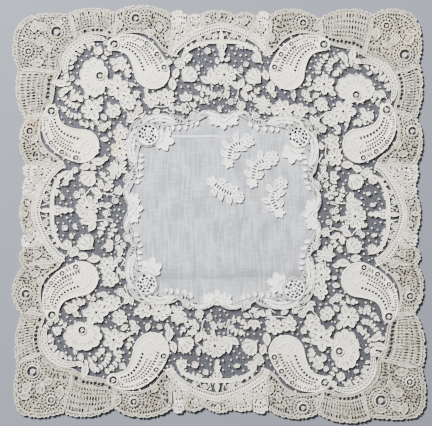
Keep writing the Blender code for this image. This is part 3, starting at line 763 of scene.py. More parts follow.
def fan_leaf(work, at, direction, radius, spread, ribs):
    """A leaf that opens like a fan, with a scalloped edge and slits between its ribs."""
    at = np.array(at, float)
    first = math.radians(direction - spread / 2)
    step = math.radians(spread) / ribs
    outline = [at]
    holes = []
    for rib in range(ribs):
        for share in (0.05, 0.3, 0.5, 0.7, 0.95):
            angle = first + step * (rib + share)
            aside = abs(2 * (rib + share) / ribs - 1)
            reach = radius * (0.88 + 0.12 * math.sin(math.pi * share)) * (1 - 0.42 * aside**3)
            outline.append(at + reach * np.array([math.cos(angle), math.sin(angle)]))
        middle = first + step * (rib + 0.5)
        heading = np.array([math.cos(middle), math.sin(middle)])
        holes.append(slot(at + heading * radius * 0.62, middle, radius * 0.46, 0.8))
    outline = np.array(outline)
    work.cloth(outline, clear_holes(holes, outline, 0.35))
    work.cord(outline, 0.42, closed=True)
    for rib in range(1, ribs):
        angle = first + step * rib
        heading = np.array([math.cos(angle), math.sin(angle)])
        work.cord([at + heading * 1.5, at + heading * radius * 0.86], 0.25)


def ear(work, foot, bend, tip, pairs):
    """A wheat ear: small leaves in pairs along a bent stem."""
    path = curved((foot, bend, tip), pairs)
    work.cord(path, 0.3, work.low + 0.4)
    heading = np.degrees(np.arctan2(*np.gradient(path, axis=0).T[::-1]))
    for point, angle in list(zip(path, heading))[1::2]:
        for side in (-1, 1):
            leaf(
                work, point, angle + side * RIPPLE_LEAF["spread"],
                RIPPLE_LEAF["length"], RIPPLE_LEAF["half"], vein=False, steps=4,
            )
    leaf(work, path[-1], heading[-1], RIPPLE_LEAF["length"], RIPPLE_LEAF["half"], vein=False, steps=4)


def tendril(work, eye, radius, turns, start, stem):
    """A stem that winds into a spiral."""
    steps = round(abs(turns) * 12)
    share = np.arange(steps + 1) / steps
    angle = math.radians(start) + turns * math.tau * share
    reach = radius * (1 - 0.78 * share)
    spiral = np.array(eye) + np.stack([reach * np.cos(angle), reach * np.sin(angle)], 1)
    entry = spiral[0] - (spiral[1] - spiral[0]) * 2.0
    path = np.vstack([curved((stem, entry, spiral[0]), 4)[:-1], spiral])
    work.cord(path, 0.5)
    work.cloth(circle(spiral[-1], 0.9, 7))


def band(work, path, halves, cord=0.4, ribs=(), slit_lines=()):
    """A band of cloth along a path, corded on both edges; ribs and lines of slits are shares of its width."""
    halves = np.interp(np.linspace(0, 1, len(path)), np.linspace(0, 1, len(halves)), halves)
    left, right = shifted(path, halves), shifted(path, -halves)
    outline = np.vstack([left, right[::-1]])
    slits = []
    for across in slit_lines:
        line = shifted(path, halves * across)
        spots = resampled(line, round(lengths_along(line)[-1] / BAND_SLIT["pitch"]))
        ahead = np.arctan2(*np.gradient(spots, axis=0).T[::-1])
        slits += [slot(at, angle, BAND_SLIT["long"], BAND_SLIT["wide"]) for at, angle in zip(spots, ahead)]
    work.cloth(outline, clear_holes(slits, outline, 0.25))
    for line in (left, right):
        work.cord(line, cord)
    for rib in ribs:
        work.cord(shifted(path, halves * rib), cord * 0.7)


def ladder(work, path, width, pitch, holes_wide=1.3):
    """A strip of cloth with a row of square holes, corded on both edges."""
    count = max(2, round(lengths_along(path)[-1] / pitch))
    middles = resampled(path, count)
    ahead = np.arctan2(*np.gradient(middles, axis=0).T[::-1])
    left, right = shifted(path, width / 2), shifted(path, -width / 2)
    outline = np.vstack([left, right[::-1]])
    holes = [slot(middle, angle + np.pi / 2, holes_wide, pitch * 0.6) for middle, angle in zip(middles, ahead)]
    work.cloth(outline, clear_holes(holes, outline, 0.3))
    work.cord(left, 0.38)
    work.cord(right, 0.38)


def draw_wheel(work, at, open_radius, disc):
    """An open ring with a corded rim, and a small pierced disc held in it by thin bars."""
    work.cord(circle(at, open_radius + 0.45, 20), 0.55, CLOTH_HIGH + 0.6, closed=True)
    work.cloth(circle(at, disc, 14), [circle(at, disc * 0.3, 6)], CLOTH_LOW, CLOTH_HIGH + 0.3)
    work.cord(circle(at, disc * 0.72, 12), 0.34, CLOTH_HIGH + 0.4, closed=True)
    for angle in np.arange(3) * math.tau / 3 + 0.4:
        heading = np.array([math.cos(angle), math.sin(angle)])
        work.cord([at + heading * disc, at + heading * open_radius], 0.16, CLOTH_HIGH - 0.3)


def palm_point(row, along, across):
    """A point of a palm, from its place along the spine and across the width, both as shares."""
    tip, bend, head = (np.array(row[key], float) for key in ("tip", "bend", "head"))
    t = np.asarray(along, float)[..., None]
    spine = (1 - t) ** 2 * tip + 2 * t * (1 - t) * bend + t**2 * head
    ahead = (1 - t) * (bend - tip) + t * (head - bend)
    ahead /= np.linalg.norm(ahead, axis=-1, keepdims=True)
    narrow, middle, wide = PALM_HALF_WIDTHS
    half = (1 - t) ** 2 * narrow + 2 * t * (1 - t) * middle + t**2 * wide
    outer = np.concatenate([-ahead[..., 1:], ahead[..., :1]], -1) * palm_side(row)
    return spine + outer * half * np.asarray(across, float)[..., None]


def palm_side(row):
    """1 if a palm's outer side is to the left of its spine, and -1 if it is to the right."""
    tip, bend, head = (np.array(row[key], float) for key in ("tip", "bend", "head"))
    turn = np.cross(bend - tip, head - bend)
    return 1.0 if turn < 0 else -1.0


def palm_rings(row):
    """The rings of a palm, as (centre, open radius, disc radius): one in its tip, the others in its outer band."""
    made = [(palm_point(row, 0.0, 0.0), PALM_TIP_RING["open"], PALM_TIP_RING["disc"])]
    for ring in PALM_RINGS:
        made.append((palm_point(row, ring["place"], PALM_RING_ACROSS), ring["open"], ring["disc"]))
    return made


def palm_line(row, across, first=0.0):
    """A closed line round a palm at a share of its width. A line that begins at the tip goes round it."""
    share = np.linspace(first, 1, 15)
    outer = palm_point(row, share, np.full(15, across))
    inner = palm_point(row, share[::-1], np.full(15, -across))
    head, bend = np.array(row["head"], float), np.array(row["bend"], float)
    ahead = math.atan2(*(head - bend)[::-1])
    angles = ahead + palm_side(row) * (np.pi / 2 - np.pi * np.arange(1, 13) / 13)
    reach = PALM_HALF_WIDTHS[2] * across
    cap = head + reach * np.stack([np.cos(angles), np.sin(angles)], 1)
    if first:
        return np.vstack([outer, cap, inner])
    tip = np.array(row["tip"], float)
    back = math.atan2(*(tip - bend)[::-1])
    angles = back + palm_side(row) * (np.pi / 2 - np.pi * np.arange(1, 9) / 9)
    reach = PALM_HALF_WIDTHS[0] * across
    return np.vstack([outer, cap, inner, tip + reach * np.stack([np.cos(angles), np.sin(angles)], 1)])


def palm_holes(row):
    """The rows of needle holes of a palm, and the openings of the rings along its outer band."""
    holes = [circle(centre, opening, 14) for centre, opening, disc in palm_rings(row)]
    for line in PALM_ROWS:
        fine = np.linspace(*line["along"], 80)
        path = palm_point(row, fine, np.full(80, line["across"]))
        count = round(lengths_along(path)[-1] / line["pitch"])
        middles = resampled(path, count)
        ahead = np.arctan2(*np.gradient(middles, axis=0).T[::-1])
        holes += [slot(m, a, line["long"], line["wide"]) for m, a in zip(middles, ahead)]
    for place in np.linspace(PALM_START, 0.98, PALM_SLITS):
        middle = palm_point(row, place, 0.775)
        spine = palm_point(row, place, 0.2)
        holes.append(slot(middle, math.atan2(*(middle - spine)[::-1]) + 0.4, 1.6 + 3.4 * place, 1.4))
    return holes


def draw_palms(work):
    """The paired palms of a corner, mirrored about its diagonal."""
    for row in PALMS:
        outline = palm_line(row, 1.0)
        work.cloth(outline, clear_holes(palm_holes(row), outline, 0.38))
        work.cord(outline, 0.6, closed=True)
        work.cord(palm_line(row, 0.95), 0.3, closed=True)
        work.cord(palm_line(row, PALM_LINES[0], PALM_START), 0.42, MOTIF_HIGH + 0.1, closed=True)
        share = np.linspace(0.16, 0.84, 14)
        for across in PALM_LINES[1:]:
            work.cord(palm_point(row, share, np.full(14, across)), 0.26)
        for centre, opening, disc in palm_rings(row):
            draw_wheel(work, centre, opening, disc)
        head, bend = np.array(row["head"], float), np.array(row["bend"], float)
        ahead = math.degrees(math.atan2(*(head - bend)[::-1]))
        for turn in PALM_VEINS:
            heading = math.radians(ahead + turn)
            away = np.array([math.cos(heading), math.sin(heading)])
            sweep = math.radians(ahead)
            back = head - 4.0 * np.array([math.cos(sweep), math.sin(sweep)])
            work.cord(curved((back, head + away * 4.5, head + away * 10.2), 4), 0.34, MOTIF_HIGH + 0.1)


def draw_horns(work):
    """The horn scroll of a corner and the curls under it."""
    path = arc(HORN["centre"], HORN["radius"], *HORN["angles"], 26)
    band(work, path, (0.9, 2.6, 3.2, 3.2, 2.8, 1.6), ribs=(0.0,), cord=0.4, slit_lines=(-0.48, 0.48))
    tendril(work, path[0] + (3.4, 1.0), 3.2, 1.3, 180, path[1])
    tendril(work, path[-1] + (1.2, -3.4), 3.0, -1.2, 90, path[-2])
    for angle in range(92, 196, 13):
        heading = math.radians(angle)
        foot = np.array(HORN["centre"]) + 24.0 * np.array([math.cos(heading), math.sin(heading)])
        leaf(work, foot, angle + 180 + 24, 5.6, 1.35, vein=False, steps=4)


def draw_roses(work):
    """The full-blown rose of a corner: two rounds of petals, fine ribs and a ring wheel for an eye."""
    eye = np.array(WHEELS[-1]["at"], float)
    at = np.array((-124.6, 136.0))
    petals, steps = 10, 60
    angle = np.arange(steps) * math.tau / steps
    reach = 19.5 * (1 - 0.12 * (1 - np.abs(np.sin(np.pi * np.arange(steps) / 6)) ** 0.6))
    outline = at + np.stack([reach * np.cos(angle) * 0.72, reach * np.sin(angle)], 1)
    holes = [circle(eye, WHEELS[-1]["open"], 16)]
    for petal in range(petals):
        rim = at + 19.5 * np.array(
            [math.cos(math.tau * (petal + 0.5) / petals) * 0.72, math.sin(math.tau * (petal + 0.5) / petals)]
        )
        heading = math.atan2(*(rim - eye)[::-1])
        reach_here = np.linalg.norm(rim - eye)
        for turn in (-0.16, 0.0, 0.16):
            ahead = np.array([math.cos(heading + turn), math.sin(heading + turn)])
            holes.append(slot(eye + ahead * reach_here * 0.7, heading + turn, reach_here * 0.2, 0.65))
    work.cloth(outline, clear_holes(holes, outline, 0.4))
    work.cord(outline, 0.5, closed=True)
    inner = at + (outline - at) * 0.62 + (eye - at) * 0.3
    work.cord(inner, 0.36, closed=True)
    for petal in range(petals):
        rim = outline[petal * 6]
        work.cord([eye + (rim - eye) * 0.3, eye + (rim - eye) * 0.97], 0.26)
    draw_wheel(work, eye, WHEELS[-1]["open"], WHEELS[-1]["disc"])


def draw_blooms(work):
    """The flowers scattered on the net."""
    for row in BLOOMS:
        bloom(work, row["at"], row["radius"], row["petals"], row["turn"])


def draw_leaves(work):
    """Leaves, fan leaves, wheat ears, stems and tendrils."""
    for row in LEAVES:
        leaf(work, row["at"], row["direction"], row["length"], row["half"])
    for row in FANS:
        fan_leaf(work, row["at"], row["direction"], row["radius"], row["spread"], row["ribs"])
    for row in EARS:
        ear(work, row["foot"], row["bend"], row["tip"], row["pairs"])
    for row in TENDRILS:
        tendril(work, row["eye"], row["radius"], row["turns"], row["start"], row["stem"])
    for row in STEMS:
        work.cord(curved(row), 0.45)


def draw_arches(work):
    """The cartouche in the middle of a side: a ladder arch, a plain arch and the spire between them."""
    ladder(work, curved(LADDER_ARCH, 5), 3.6, 2.4, 2.2)
    ladder(work, shifted(curved(LADDER_ARCH, 5), 3.9), 3.6, 3.0, 2.2)
    band(work, curved(PLAIN_ARCH, 5), (0.8, 1.5, 1.7, 1.7, 1.5, 0.8), ribs=(0.0,))
    foot, tip = np.array(SPIRE["foot"], float), np.array(SPIRE["tip"], float)
    length = tip[1] - foot[1]
    right = [(foot[0] + SPIRE["half"] * wide, foot[1] + length * up) for up, wide in SPIRE_ROWS]
    left = [(foot[0] - SPIRE["half"] * wide, foot[1] + length * up) for up, wide in reversed(SPIRE_ROWS)]
    outline = np.array(right + [tuple(tip)] + left)
    spots = [(foot[0] + side * 1.7, foot[1] + length * up) for up in (0.4, 0.48, 0.56) for side in (-1, 1)]
    slits = [slot(np.array(at), np.pi / 2, 2.1, 1.3) for at in spots]
    work.cloth(outline, clear_holes(slits, outline, 0.25), low=MOTIF_LOW, high=MOTIF_HIGH + 0.15)
    work.cord(outline, 0.34, MOTIF_HIGH + 0.15, closed=True)
    work.cord([foot + (0, 4), tip - (0, 4)], 0.34, MOTIF_HIGH + 0.2)


QUARTER_WORK = {
    "palms": draw_palms,
    "horn_scrolls": draw_horns,
    "roses": draw_roses,
    "blooms": draw_blooms,
    "leaf_sprigs": draw_leaves,
    "cartouches": draw_arches,
}


@functools.cache
def quarter_work(name):
    """The needlework of one kind in the top left quarter."""
    work = Work()
    QUARTER_WORK[name](work)
    return work


def quarter_turned(work, quarter):
    """A quarter's needlework, turned to its own quarter and settled."""
    moved = Work()
    for outline, holes, low, high in work.cloths:
        loops = [settled(turned(loop, quarter)) for loop in [outline, *holes]]
        moved.cloths.append((loops[0], loops[1:], low, high))
    for path, radius, height, closed in work.cords:
        moved.cords.append((settled(turned(path, quarter)), radius, height, closed))
    return moved


def band_inner(side, number):
    """The inner edge of the border behind one lobe, in the cloth's frame."""
    if number < 9:
        run = curved(BAND_INNER[number], 5)
    else:
        run = arc(CORNER_INNER["centre"], CORNER_INNER["radius"], *CORNER_INNER["angles"], 16)
        run = np.vstack([[BAND_INNER[8][-1]], run[1:-1], [turned(BAND_INNER[0][0], 1)]])
    return settled(turned(run, side))


@functools.cache
def side_wheels(side):
    """The ring wheels that stand in the border near a side, as (centre, open radius, disc, halo)."""
    return [
        (settled(turned([row["at"]], side + step))[0], row["open"], row["disc"], row["halo"])
        for row in WHEELS[:4]
        for step in (0, 1)
    ]


def place_in_lobe(outer, inner, along, depth):
    """A point of a lobe and the way outward there, from shares of its length and depth."""
    share = lengths_along(outer) / lengths_along(outer)[-1]
    out = np.array([np.interp(along, share, outer[:, axis]) for axis in (0, 1)])
    far = np.array([np.interp(along, share, inner[:, axis]) for axis in (0, 1)])
    return out + (far - out) * depth, math.atan2(*(out - far)[::-1])


def lobe_holes(kind, outer, inner, wheels, gaps, rng):
    """The openings of a lobe: its wheels and their halos, the larger gaps, rows, and then a stipple."""
    holes = []
    for centre, opening, disc, halo in wheels:
        holes.append(circle(centre, opening, 18))
    for centre, opening, disc, halo in wheels:
        if not halo:
            continue
        for reach, long in ((halo, 2.5), (halo + 3.2, 2.1)):
            count = round(math.tau * reach / 3.0)
            for angle in np.arange(count) * math.tau / count:
                at = centre + reach * np.array([math.cos(angle), math.sin(angle)])
                holes.append(slot(at, angle, long, 1.5))
    holes += gaps
    for row in LOBE_ROWS[kind]:
        line = outer + (inner - outer) * row["depth"]
        count = max(3, round(lengths_along(line)[-1] / row["pitch"]))
        for number in range(count):
            if rng.uniform() < 0.06:
                continue
            at, outward = place_in_lobe(outer, inner, (number + 0.5) / count, row["depth"])
            size = rng.uniform(0.85, 1.15)
            tilt = rng.uniform(-0.15, 0.15)
            holes.append(slot(at, outward + tilt, row["long"] * size, row["wide"] * size))
    if kind != "fan":
        holes += openwork(outer, inner, rng)
    return holes


def openwork(outer, inner, rng):
    """Staggered rows of uneven openings that follow a lobe's edge."""
    deep = np.linalg.norm(outer - inner, axis=1).mean()
    rows = max(2, round(deep / OPENWORK["row"]))
    made = []
    for row in range(rows):
        depth = 0.04 + 0.92 * (row + 0.5) / rows
        count = max(3, round(lengths_along(outer + (inner - outer) * depth)[-1] / OPENWORK["pitch"]))
        for number in range(count):
            along = (number + 0.5 * (row % 2) + rng.uniform(0.1, 0.4)) / count
            at, outward = place_in_lobe(outer, inner, along, depth)
            size = rng.uniform(0.7, 1.2)
            tilt = rng.uniform(-0.5, 0.5)
            made.append(slot(at, outward + tilt, OPENWORK["long"] * size, OPENWORK["wide"] * size))
    return made


def moat(outline):
    """Openings in a broken ring round a raised motif."""
    fine = resampled(outline, 60, closed=True)
    x, y = fine[:, 0], fine[:, 1]
    out = 1.3 if (x * np.roll(y, -1) - np.roll(x, -1) * y).sum() < 0 else -1.3
    ring = shifted(fine, out, closed=True)
    ring = resampled(ring, 4 * max(4, round(lengths_along(ring)[-1] / 4.2)), closed=True)
    ahead = np.roll(ring, -1, 0) - np.roll(ring, 1, 0)
    return [slot(at, math.atan2(*way[::-1]), 3.5, 1.6) for at, way in zip(ring[::4], ahead[::4])]


def side_gaps(side):
    """The larger openings near a side, in the cloth's frame."""
    made = []
    for row in GAPS:
        opening = slot(np.array(row["at"], float), math.radians(row["direction"]), row["length"], row["width"])
        made += [settled(turned(opening, side + step)) for step in (0, 1)]
    return made


@functools.cache
def border_work():
    """The dense clothwork of the border, lobe by lobe, with its wheels, ribs and raised leaves."""
    work = Work(CLOTH_LOW, CLOTH_HIGH)
    pads = Work(CLOTH_HIGH - 0.05, CLOTH_HIGH + 0.25)
    rng = np.random.default_rng(BORDER_SEED)
    for side in range(4):
        gaps = side_gaps(side)
        for number, run in enumerate(edge_runs(side)):
            kind = LOBE_KINDS[number]
            inner_run = band_inner(side, number)
            count = max(12, round(lengths_along(run)[-1] / 1.6))
            outer, inner = resampled(run, count), resampled(inner_run, count)
            outer = shifted(outer, -EDGE_INSET)
            outline = np.vstack([picots(run, 0.3), inner[::-1]])
            near = [
                wheel for wheel in side_wheels(side)
                if inside(wheel[0][None], outline)[0] and clearance(wheel[0][None], outline)[0] > wheel[1] + 0.8
            ]
            first = len(pads.cloths)
            add_pads(pads, kind, outer, inner, near)
            moats = [opening for pad in pads.cloths[first:] for opening in moat(pad[0])]
            holes = lobe_holes(kind, outer, inner, near, gaps + moats, rng)
            holes = [hole for hole in holes if len(hole) > 6 or not under_pads(hole, pads.cloths[first:])]
            work.cloth(outline, clear_holes(holes, outline))
            work.cord(picots(run), 0.42, CLOTH_HIGH - 0.1)
            add_ribs(work, kind, outer, inner, near)
            for centre, opening, disc, halo in near:
                draw_wheel(work, centre, opening, disc)
                if halo:
                    work.cord(circle(centre, halo - 1.6, 22), 0.34, CLOTH_HIGH + 0.1, closed=True)
                    work.cord(circle(centre, halo + 1.5, 30), 0.3, CLOTH_HIGH + 0.05, closed=True)
            work.cord(inner, 0.5, CLOTH_HIGH + 0.1)
            seam = outer[0] + (inner[0] - outer[0]) * np.array([[0.04], [0.35], [0.7], [0.95]])
            seam += sideways(seam) * np.array([[0.0], [1.0], [-0.8], [0.0]])
            band(pads, curved(seam, 4), (0.4, 1.3, 1.5, 1.2, 0.5), cord=0.36)
    return work, pads


def under_pads(hole, cloths):
    """Whether a hole's middle lies under a raised motif."""
    return any(inside(hole.mean(0)[None], cloth[0])[0] for cloth in cloths)


def add_pads(pads, kind, outer, inner, wheels):
    """The raised leaves and buds of a lobe, where they clear its wheels."""
    for row in LOBE_PADS[kind]:
        at, outward = place_in_lobe(outer, inner, row["along"], row["depth"])
        direction = math.degrees(outward) + row["turn"]
        heading = np.array([math.cos(math.radians(direction)), math.sin(math.radians(direction))])
        trail = at + heading * row["size"] * np.array([[0.1], [0.5], [1.0]])
        if any((np.linalg.norm(trail - wheel[0], axis=1) < wheel[1] + 3.4).any() for wheel in wheels):
            continue
        if row["kind"] == "fan":
            fan_leaf(pads, at, direction, row["size"], 74, 5)
        else:
            leaf(pads, at, direction, row["size"], row["size"] * 0.3, steps=7)


def add_ribs(work, kind, outer, inner, wheels):
    """Fine raised ribs across a lobe, and long lines along it."""
    if kind == "fan":
        for place in range(2, len(outer) - 2, 2):
            start, finish = outer[place], inner[place]
            points = start + (finish - start) * np.linspace(0.04, 0.74, 5)[:, None]
            if any((np.linalg.norm(points - wheel[0], axis=1) < wheel[1] + wheel[3] * 0.5 + 1.4).any() for wheel in wheels):
                continue
            work.cord(points, 0.3, CLOTH_HIGH + 0.02)
    for depth in (0.06, 0.74, 0.93):
        line = outer + (inner - outer) * depth
        if any((np.linalg.norm(line - wheel[0], axis=1) < wheel[1] + 0.9).any() for wheel in wheels):
            continue
        work.cord(line, 0.34, CLOTH_HIGH + 0.05)


# Openings of the frame, on the top side and turned to the others: rows of slots along a path
FRAME_ROWS = (
    {"path": ((-46, 90.3), (-41, 88.3), (-36, 87.8), (-31, 90)), "long": 3.4, "wide": 1.5, "pitch": 2.5},
    {"path": ((46, 90.3), (41, 88.3), (36, 87.8), (31, 90)), "long": 3.4, "wide": 1.5, "pitch": 2.5},
    {"path": ((-14, 96), (-7, 95.3), (0, 92)), "long": 2.0, "wide": 1.5, "pitch": 2.7},
    {"path": ((6, 92), (13, 95.3), (20, 96)), "long": 2.0, "wide": 1.5, "pitch": 2.7},
)
# Scrolls of the frame, on the top side: paths of raised bands that taper to both ends
FRAME_SCROLLS = (
    {"path": ((-82, 83), (-74, 91), (-63, 93.5), (-52, 91.5), (-45, 87)), "half": 1.3},
    {"path": ((-72, 87.5), (-62, 89.5), (-53, 88), (-46, 86)), "half": 0.9},
    {"path": ((82, 83), (74, 91), (63, 93.5), (52, 91.5), (45, 87)), "half": 1.3},
    {"path": ((72, 87.5), (62, 89.5), (53, 88), (46, 86)), "half": 0.9},
    {"path": ((-23, 94), (-16, 97), (-8, 94.5), (-1, 90)), "half": 1.2},
    {"path": ((29, 94), (22, 97), (14, 94.5), (7, 90)), "half": 1.2},
)
FRAME_CURLS = (
    {"eye": (-28.5, 94), "radius": 4.0, "turns": 1.5, "start": 250, "stem": (-38, 86.5)},
    {"eye": (34.5, 94), "radius": 4.0, "turns": -1.5, "start": 290, "stem": (44, 86.5)},
    {"eye": (-50, 101.5), "radius": 3.2, "turns": 1.5, "start": 300, "stem": (-57, 100)},
    {"eye": (-37, 103), "radius": 3.2, "turns": -1.5, "start": 240, "stem": (-39, 96)},
    {"eye": (52, 101.5), "radius": 3.2, "turns": -1.5, "start": 240, "stem": (59, 100)},
    {"eye": (42, 103), "radius": 3.2, "turns": 1.5, "start": 300, "stem": (43, 96)},
)


@functools.cache
def frame_work():
    """The scrolled frame round the lawn, with its crescents, ladder rows and two rows of long slits."""
    work = Work(CLOTH_LOW + 0.3, FRAME_HIGH)
    outer = settled(frame_line(FRAME_OUTER_HALF))
    inner = settled(frame_line(FRAME_INNER_HALF))
    outer = resampled(curved(np.vstack([outer, outer[:1]]), 3)[:-1], 420, closed=True)
    inner = resampled(curved(np.vstack([inner, inner[:1]]), 3)[:-1], 420, closed=True)
    holes = [circle(roundel_centre(quarter), ROUNDEL_RADIUS, 28) for quarter in range(4)]
    for quarter in range(4):
        centre = roundel_centre(quarter)
        away = math.atan2(centre[1], centre[0])
        for reach in (13.2, 16.4):
            for turn in (-75, -45, -15, 15, 45, 75):
                angle = away + math.radians(turn + (reach > 15) * 15)
                at = centre + reach * np.array([math.cos(angle), math.sin(angle)])
                holes.append(slot(at, angle + np.pi / 2, reach * 0.28, 1.5))
        for row in FRAME_ROWS:
            path = settled(turned(curved(row["path"], 6), quarter))
            middles = resampled(path, round(lengths_along(path)[-1] / row["pitch"]))
            ahead = np.arctan2(*np.gradient(middles, axis=0).T[::-1])
            holes += [slot(m, a + np.pi / 2, row["long"], row["wide"]) for m, a in zip(middles, ahead)]
    for depth, pitch in ((0.4, 6.2), (0.68, 7.4)):
        line = outer + (inner - outer) * depth
        count = round(lengths_along(line)[-1] / pitch)
        spots = resampled(line, 4 * count, closed=True)
        ahead = np.roll(spots, -1, 0) - np.roll(spots, 1, 0)
        holes += [slot(at, math.atan2(*way[::-1]), 5.0, 1.3) for at, way in zip(spots[::4], ahead[::4])]
    solid = inside(np.vstack([hole.mean(0) for hole in holes]), inner)
    holes = [hole for hole, within in zip(holes, solid) if not within]
    work.cloth(outer, [inner, *clear_holes(holes, outer, 0.4)])
    for depth, radius in ((0.0, 0.55), (0.16, 0.3), (1.0, 0.5)):
        work.cord(outer + (inner - outer) * depth, radius, closed=True)
    for quarter in range(4):
        centre = roundel_centre(quarter)
        for reach, radius in ((0.6, 0.65), (1.9, 0.3), (4.5, 0.4), (7.8, 0.35)):
            if reach < 3:
                work.cord(circle(centre, ROUNDEL_RADIUS + reach, 30), radius, FRAME_HIGH + 0.1, closed=True)
                continue
            away = math.degrees(math.atan2(centre[1], centre[0]))
            work.cord(arc(centre, ROUNDEL_RADIUS + reach, away - 82, away + 82, 24), radius)
    return work


def draw_frame_scrolls(work):
    """The raised bands and curls of the frame, on the top side."""
    for row in FRAME_SCROLLS:
        band(work, curved(row["path"], 5), (0.3, row["half"], row["half"], 0.3), ribs=(0.0,))
    for row in FRAME_CURLS:
        tendril(work, row["eye"], row["radius"], row["turns"], row["start"], row["stem"])


def roundel_centre(quarter):
    return settled(turned([(-ROUNDEL_CENTRE, ROUNDEL_CENTRE)], quarter))[0]


# Leaves worked on the lawn beside the frame, on the top side: foot, direction, length, half width
FRAME_LEAVES = (
    {"at": (-42, 84.5), "direction": 255, "length": 5.6, "half": 1.7},
    {"at": (-36, 84.5), "direction": 275, "length": 5.0, "half": 1.5},
    {"at": (-49, 84.5), "direction": 265, "length": 5.6, "half": 1.7},
    {"at": (-55, 83.5), "direction": 280, "length": 4.6, "half": 1.5},
    {"at": (42, 84.5), "direction": 285, "length": 5.6, "half": 1.7},
    {"at": (36, 84.5), "direction": 262, "length": 5.0, "half": 1.5},
    {"at": (49, 84.5), "direction": 275, "length": 5.6, "half": 1.7},
    {"at": (55, 83.5), "direction": 260, "length": 4.6, "half": 1.5},
    {"at": (-23, 89), "direction": 250, "length": 6, "half": 1.8},
    {"at": (28, 88), "direction": 290, "length": 6, "half": 1.8},
    {"at": (-29, 87), "direction": 262, "length": 5, "half": 1.5},
    {"at": (34, 86), "direction": 282, "length": 5, "half": 1.5},
)
# Maple leaves beside the frame: foot, direction and size
FRAME_MAPLES = (
    {"at": (-62.5, 70.5), "direction": -10, "size": 15},
    {"at": (2.5, 92), "direction": 270, "size": 12.5},
    {"at": (-4.5, 91), "direction": 222, "size": 9},
    {"at": (9.5, 91), "direction": 318, "size": 9},
)


def draw_frame_leaves(work):
    for row in FRAME_LEAVES:
        leaf(work, row["at"], row["direction"], row["length"], row["half"], vein=False)
    for row in FRAME_MAPLES:
        maple(work, row["at"], row["direction"], row["size"])


QUARTER_WORK["frame_leaves"] = draw_frame_leaves
QUARTER_WORK["frame_scrolls"] = draw_frame_scrolls


def spray_openings():
    """Where the lawn is cut away under the sprays' openwork stems."""
    made = []
    for row in SPRAYS:
        stem = curved((row["foot"], row["bend"], row["head"]), 9)[1:-3]
        made.append(np.vstack([shifted(stem, 2.2), shifted(stem, -2.2)[::-1]]))
    return made


@functools.cache
def spray_work():
    """Flower sprays worked on the lawn: a bent openwork stem with a flower at its head, and leaves beside it."""
    work = Work(LAWN_HEIGHT, FRAME_HIGH)
    for row in SPRAYS:
        foot, bend, head = (np.array(row[key], float) for key in ("foot", "bend", "head"))
        stem = curved((foot, bend, head), 9)
        ladder(work, stem, 6.4, 2.7, 4.4)
        bloom(work, head, row["radius"], 6, row["turn"], heart=0.24)
        heading = np.degrees(np.arctan2(*np.gradient(stem, axis=0).T[::-1]))
        for number in range(1, len(stem) - 3, SPRAY_LEAF["every"]):
            for side in (-1, 1):
                direction = math.radians(heading[number] + side * 62)
                start = stem[number] + 3.0 * np.array([math.cos(direction), math.sin(direction)])
                leaf(work, start, heading[number] + side * 48, SPRAY_LEAF["length"], SPRAY_LEAF["half"])
        maple(work, foot, heading[0] + 180, SPRAY_LEAF["length"] * 0.8)
    return work


def roundel_work(quarter):
    """A round openwork filling: rings of uneven openings between thick bars, and a knot in the middle."""
    work = Work(CLOTH_LOW, CLOTH_HIGH)
    centre = roundel_centre(quarter)
    rng = np.random.default_rng(40 + quarter)
    rim = circle(centre, ROUNDEL_RADIUS - 0.35, 32)
    holes = []
    for reach, count, size in ((2.7, 5, 1.25), (5.3, 8, 1.75), (8.1, 12, 1.8)):
        for number in range(count):
            angle = math.tau * (number + rng.uniform(-0.08, 0.08)) / count + reach
            out = np.array([math.cos(angle), math.sin(angle)])
            spokes = size * rng.uniform(0.85, 1.1) * rng.uniform(0.85, 1.15, 8)
            turn = np.arange(8) * math.tau / 8
            along = spokes * np.cos(turn) * 0.74
            across = spokes * np.sin(turn)
            at = centre + out * (reach + rng.uniform(-0.2, 0.2))
            holes.append(at + along[:, None] * out + across[:, None] * np.array([-out[1], out[0]]))
    work.cloth(rim, clear_holes(holes, rim, 0.16))
    work.cord(circle(centre, ROUNDEL_RADIUS - 0.3, 28), 0.4, closed=True)
    work.cord(circle(centre, 1.1, 10), 0.45, CLOTH_HIGH + 0.1, closed=True)
    return work


# Meshes

def lay(points):
    """How far the cloth lifts at each point: low waves left by its folds, never below the surface."""
    x, y = points[:, 0], points[:, 1]
    waves = np.sin(x / 31.0 + 0.6) * np.sin(y / 27.0 - 0.4) + 0.5 * np.sin((x + y) / 13.0)
    return LAY_RISE * (1.5 + waves)


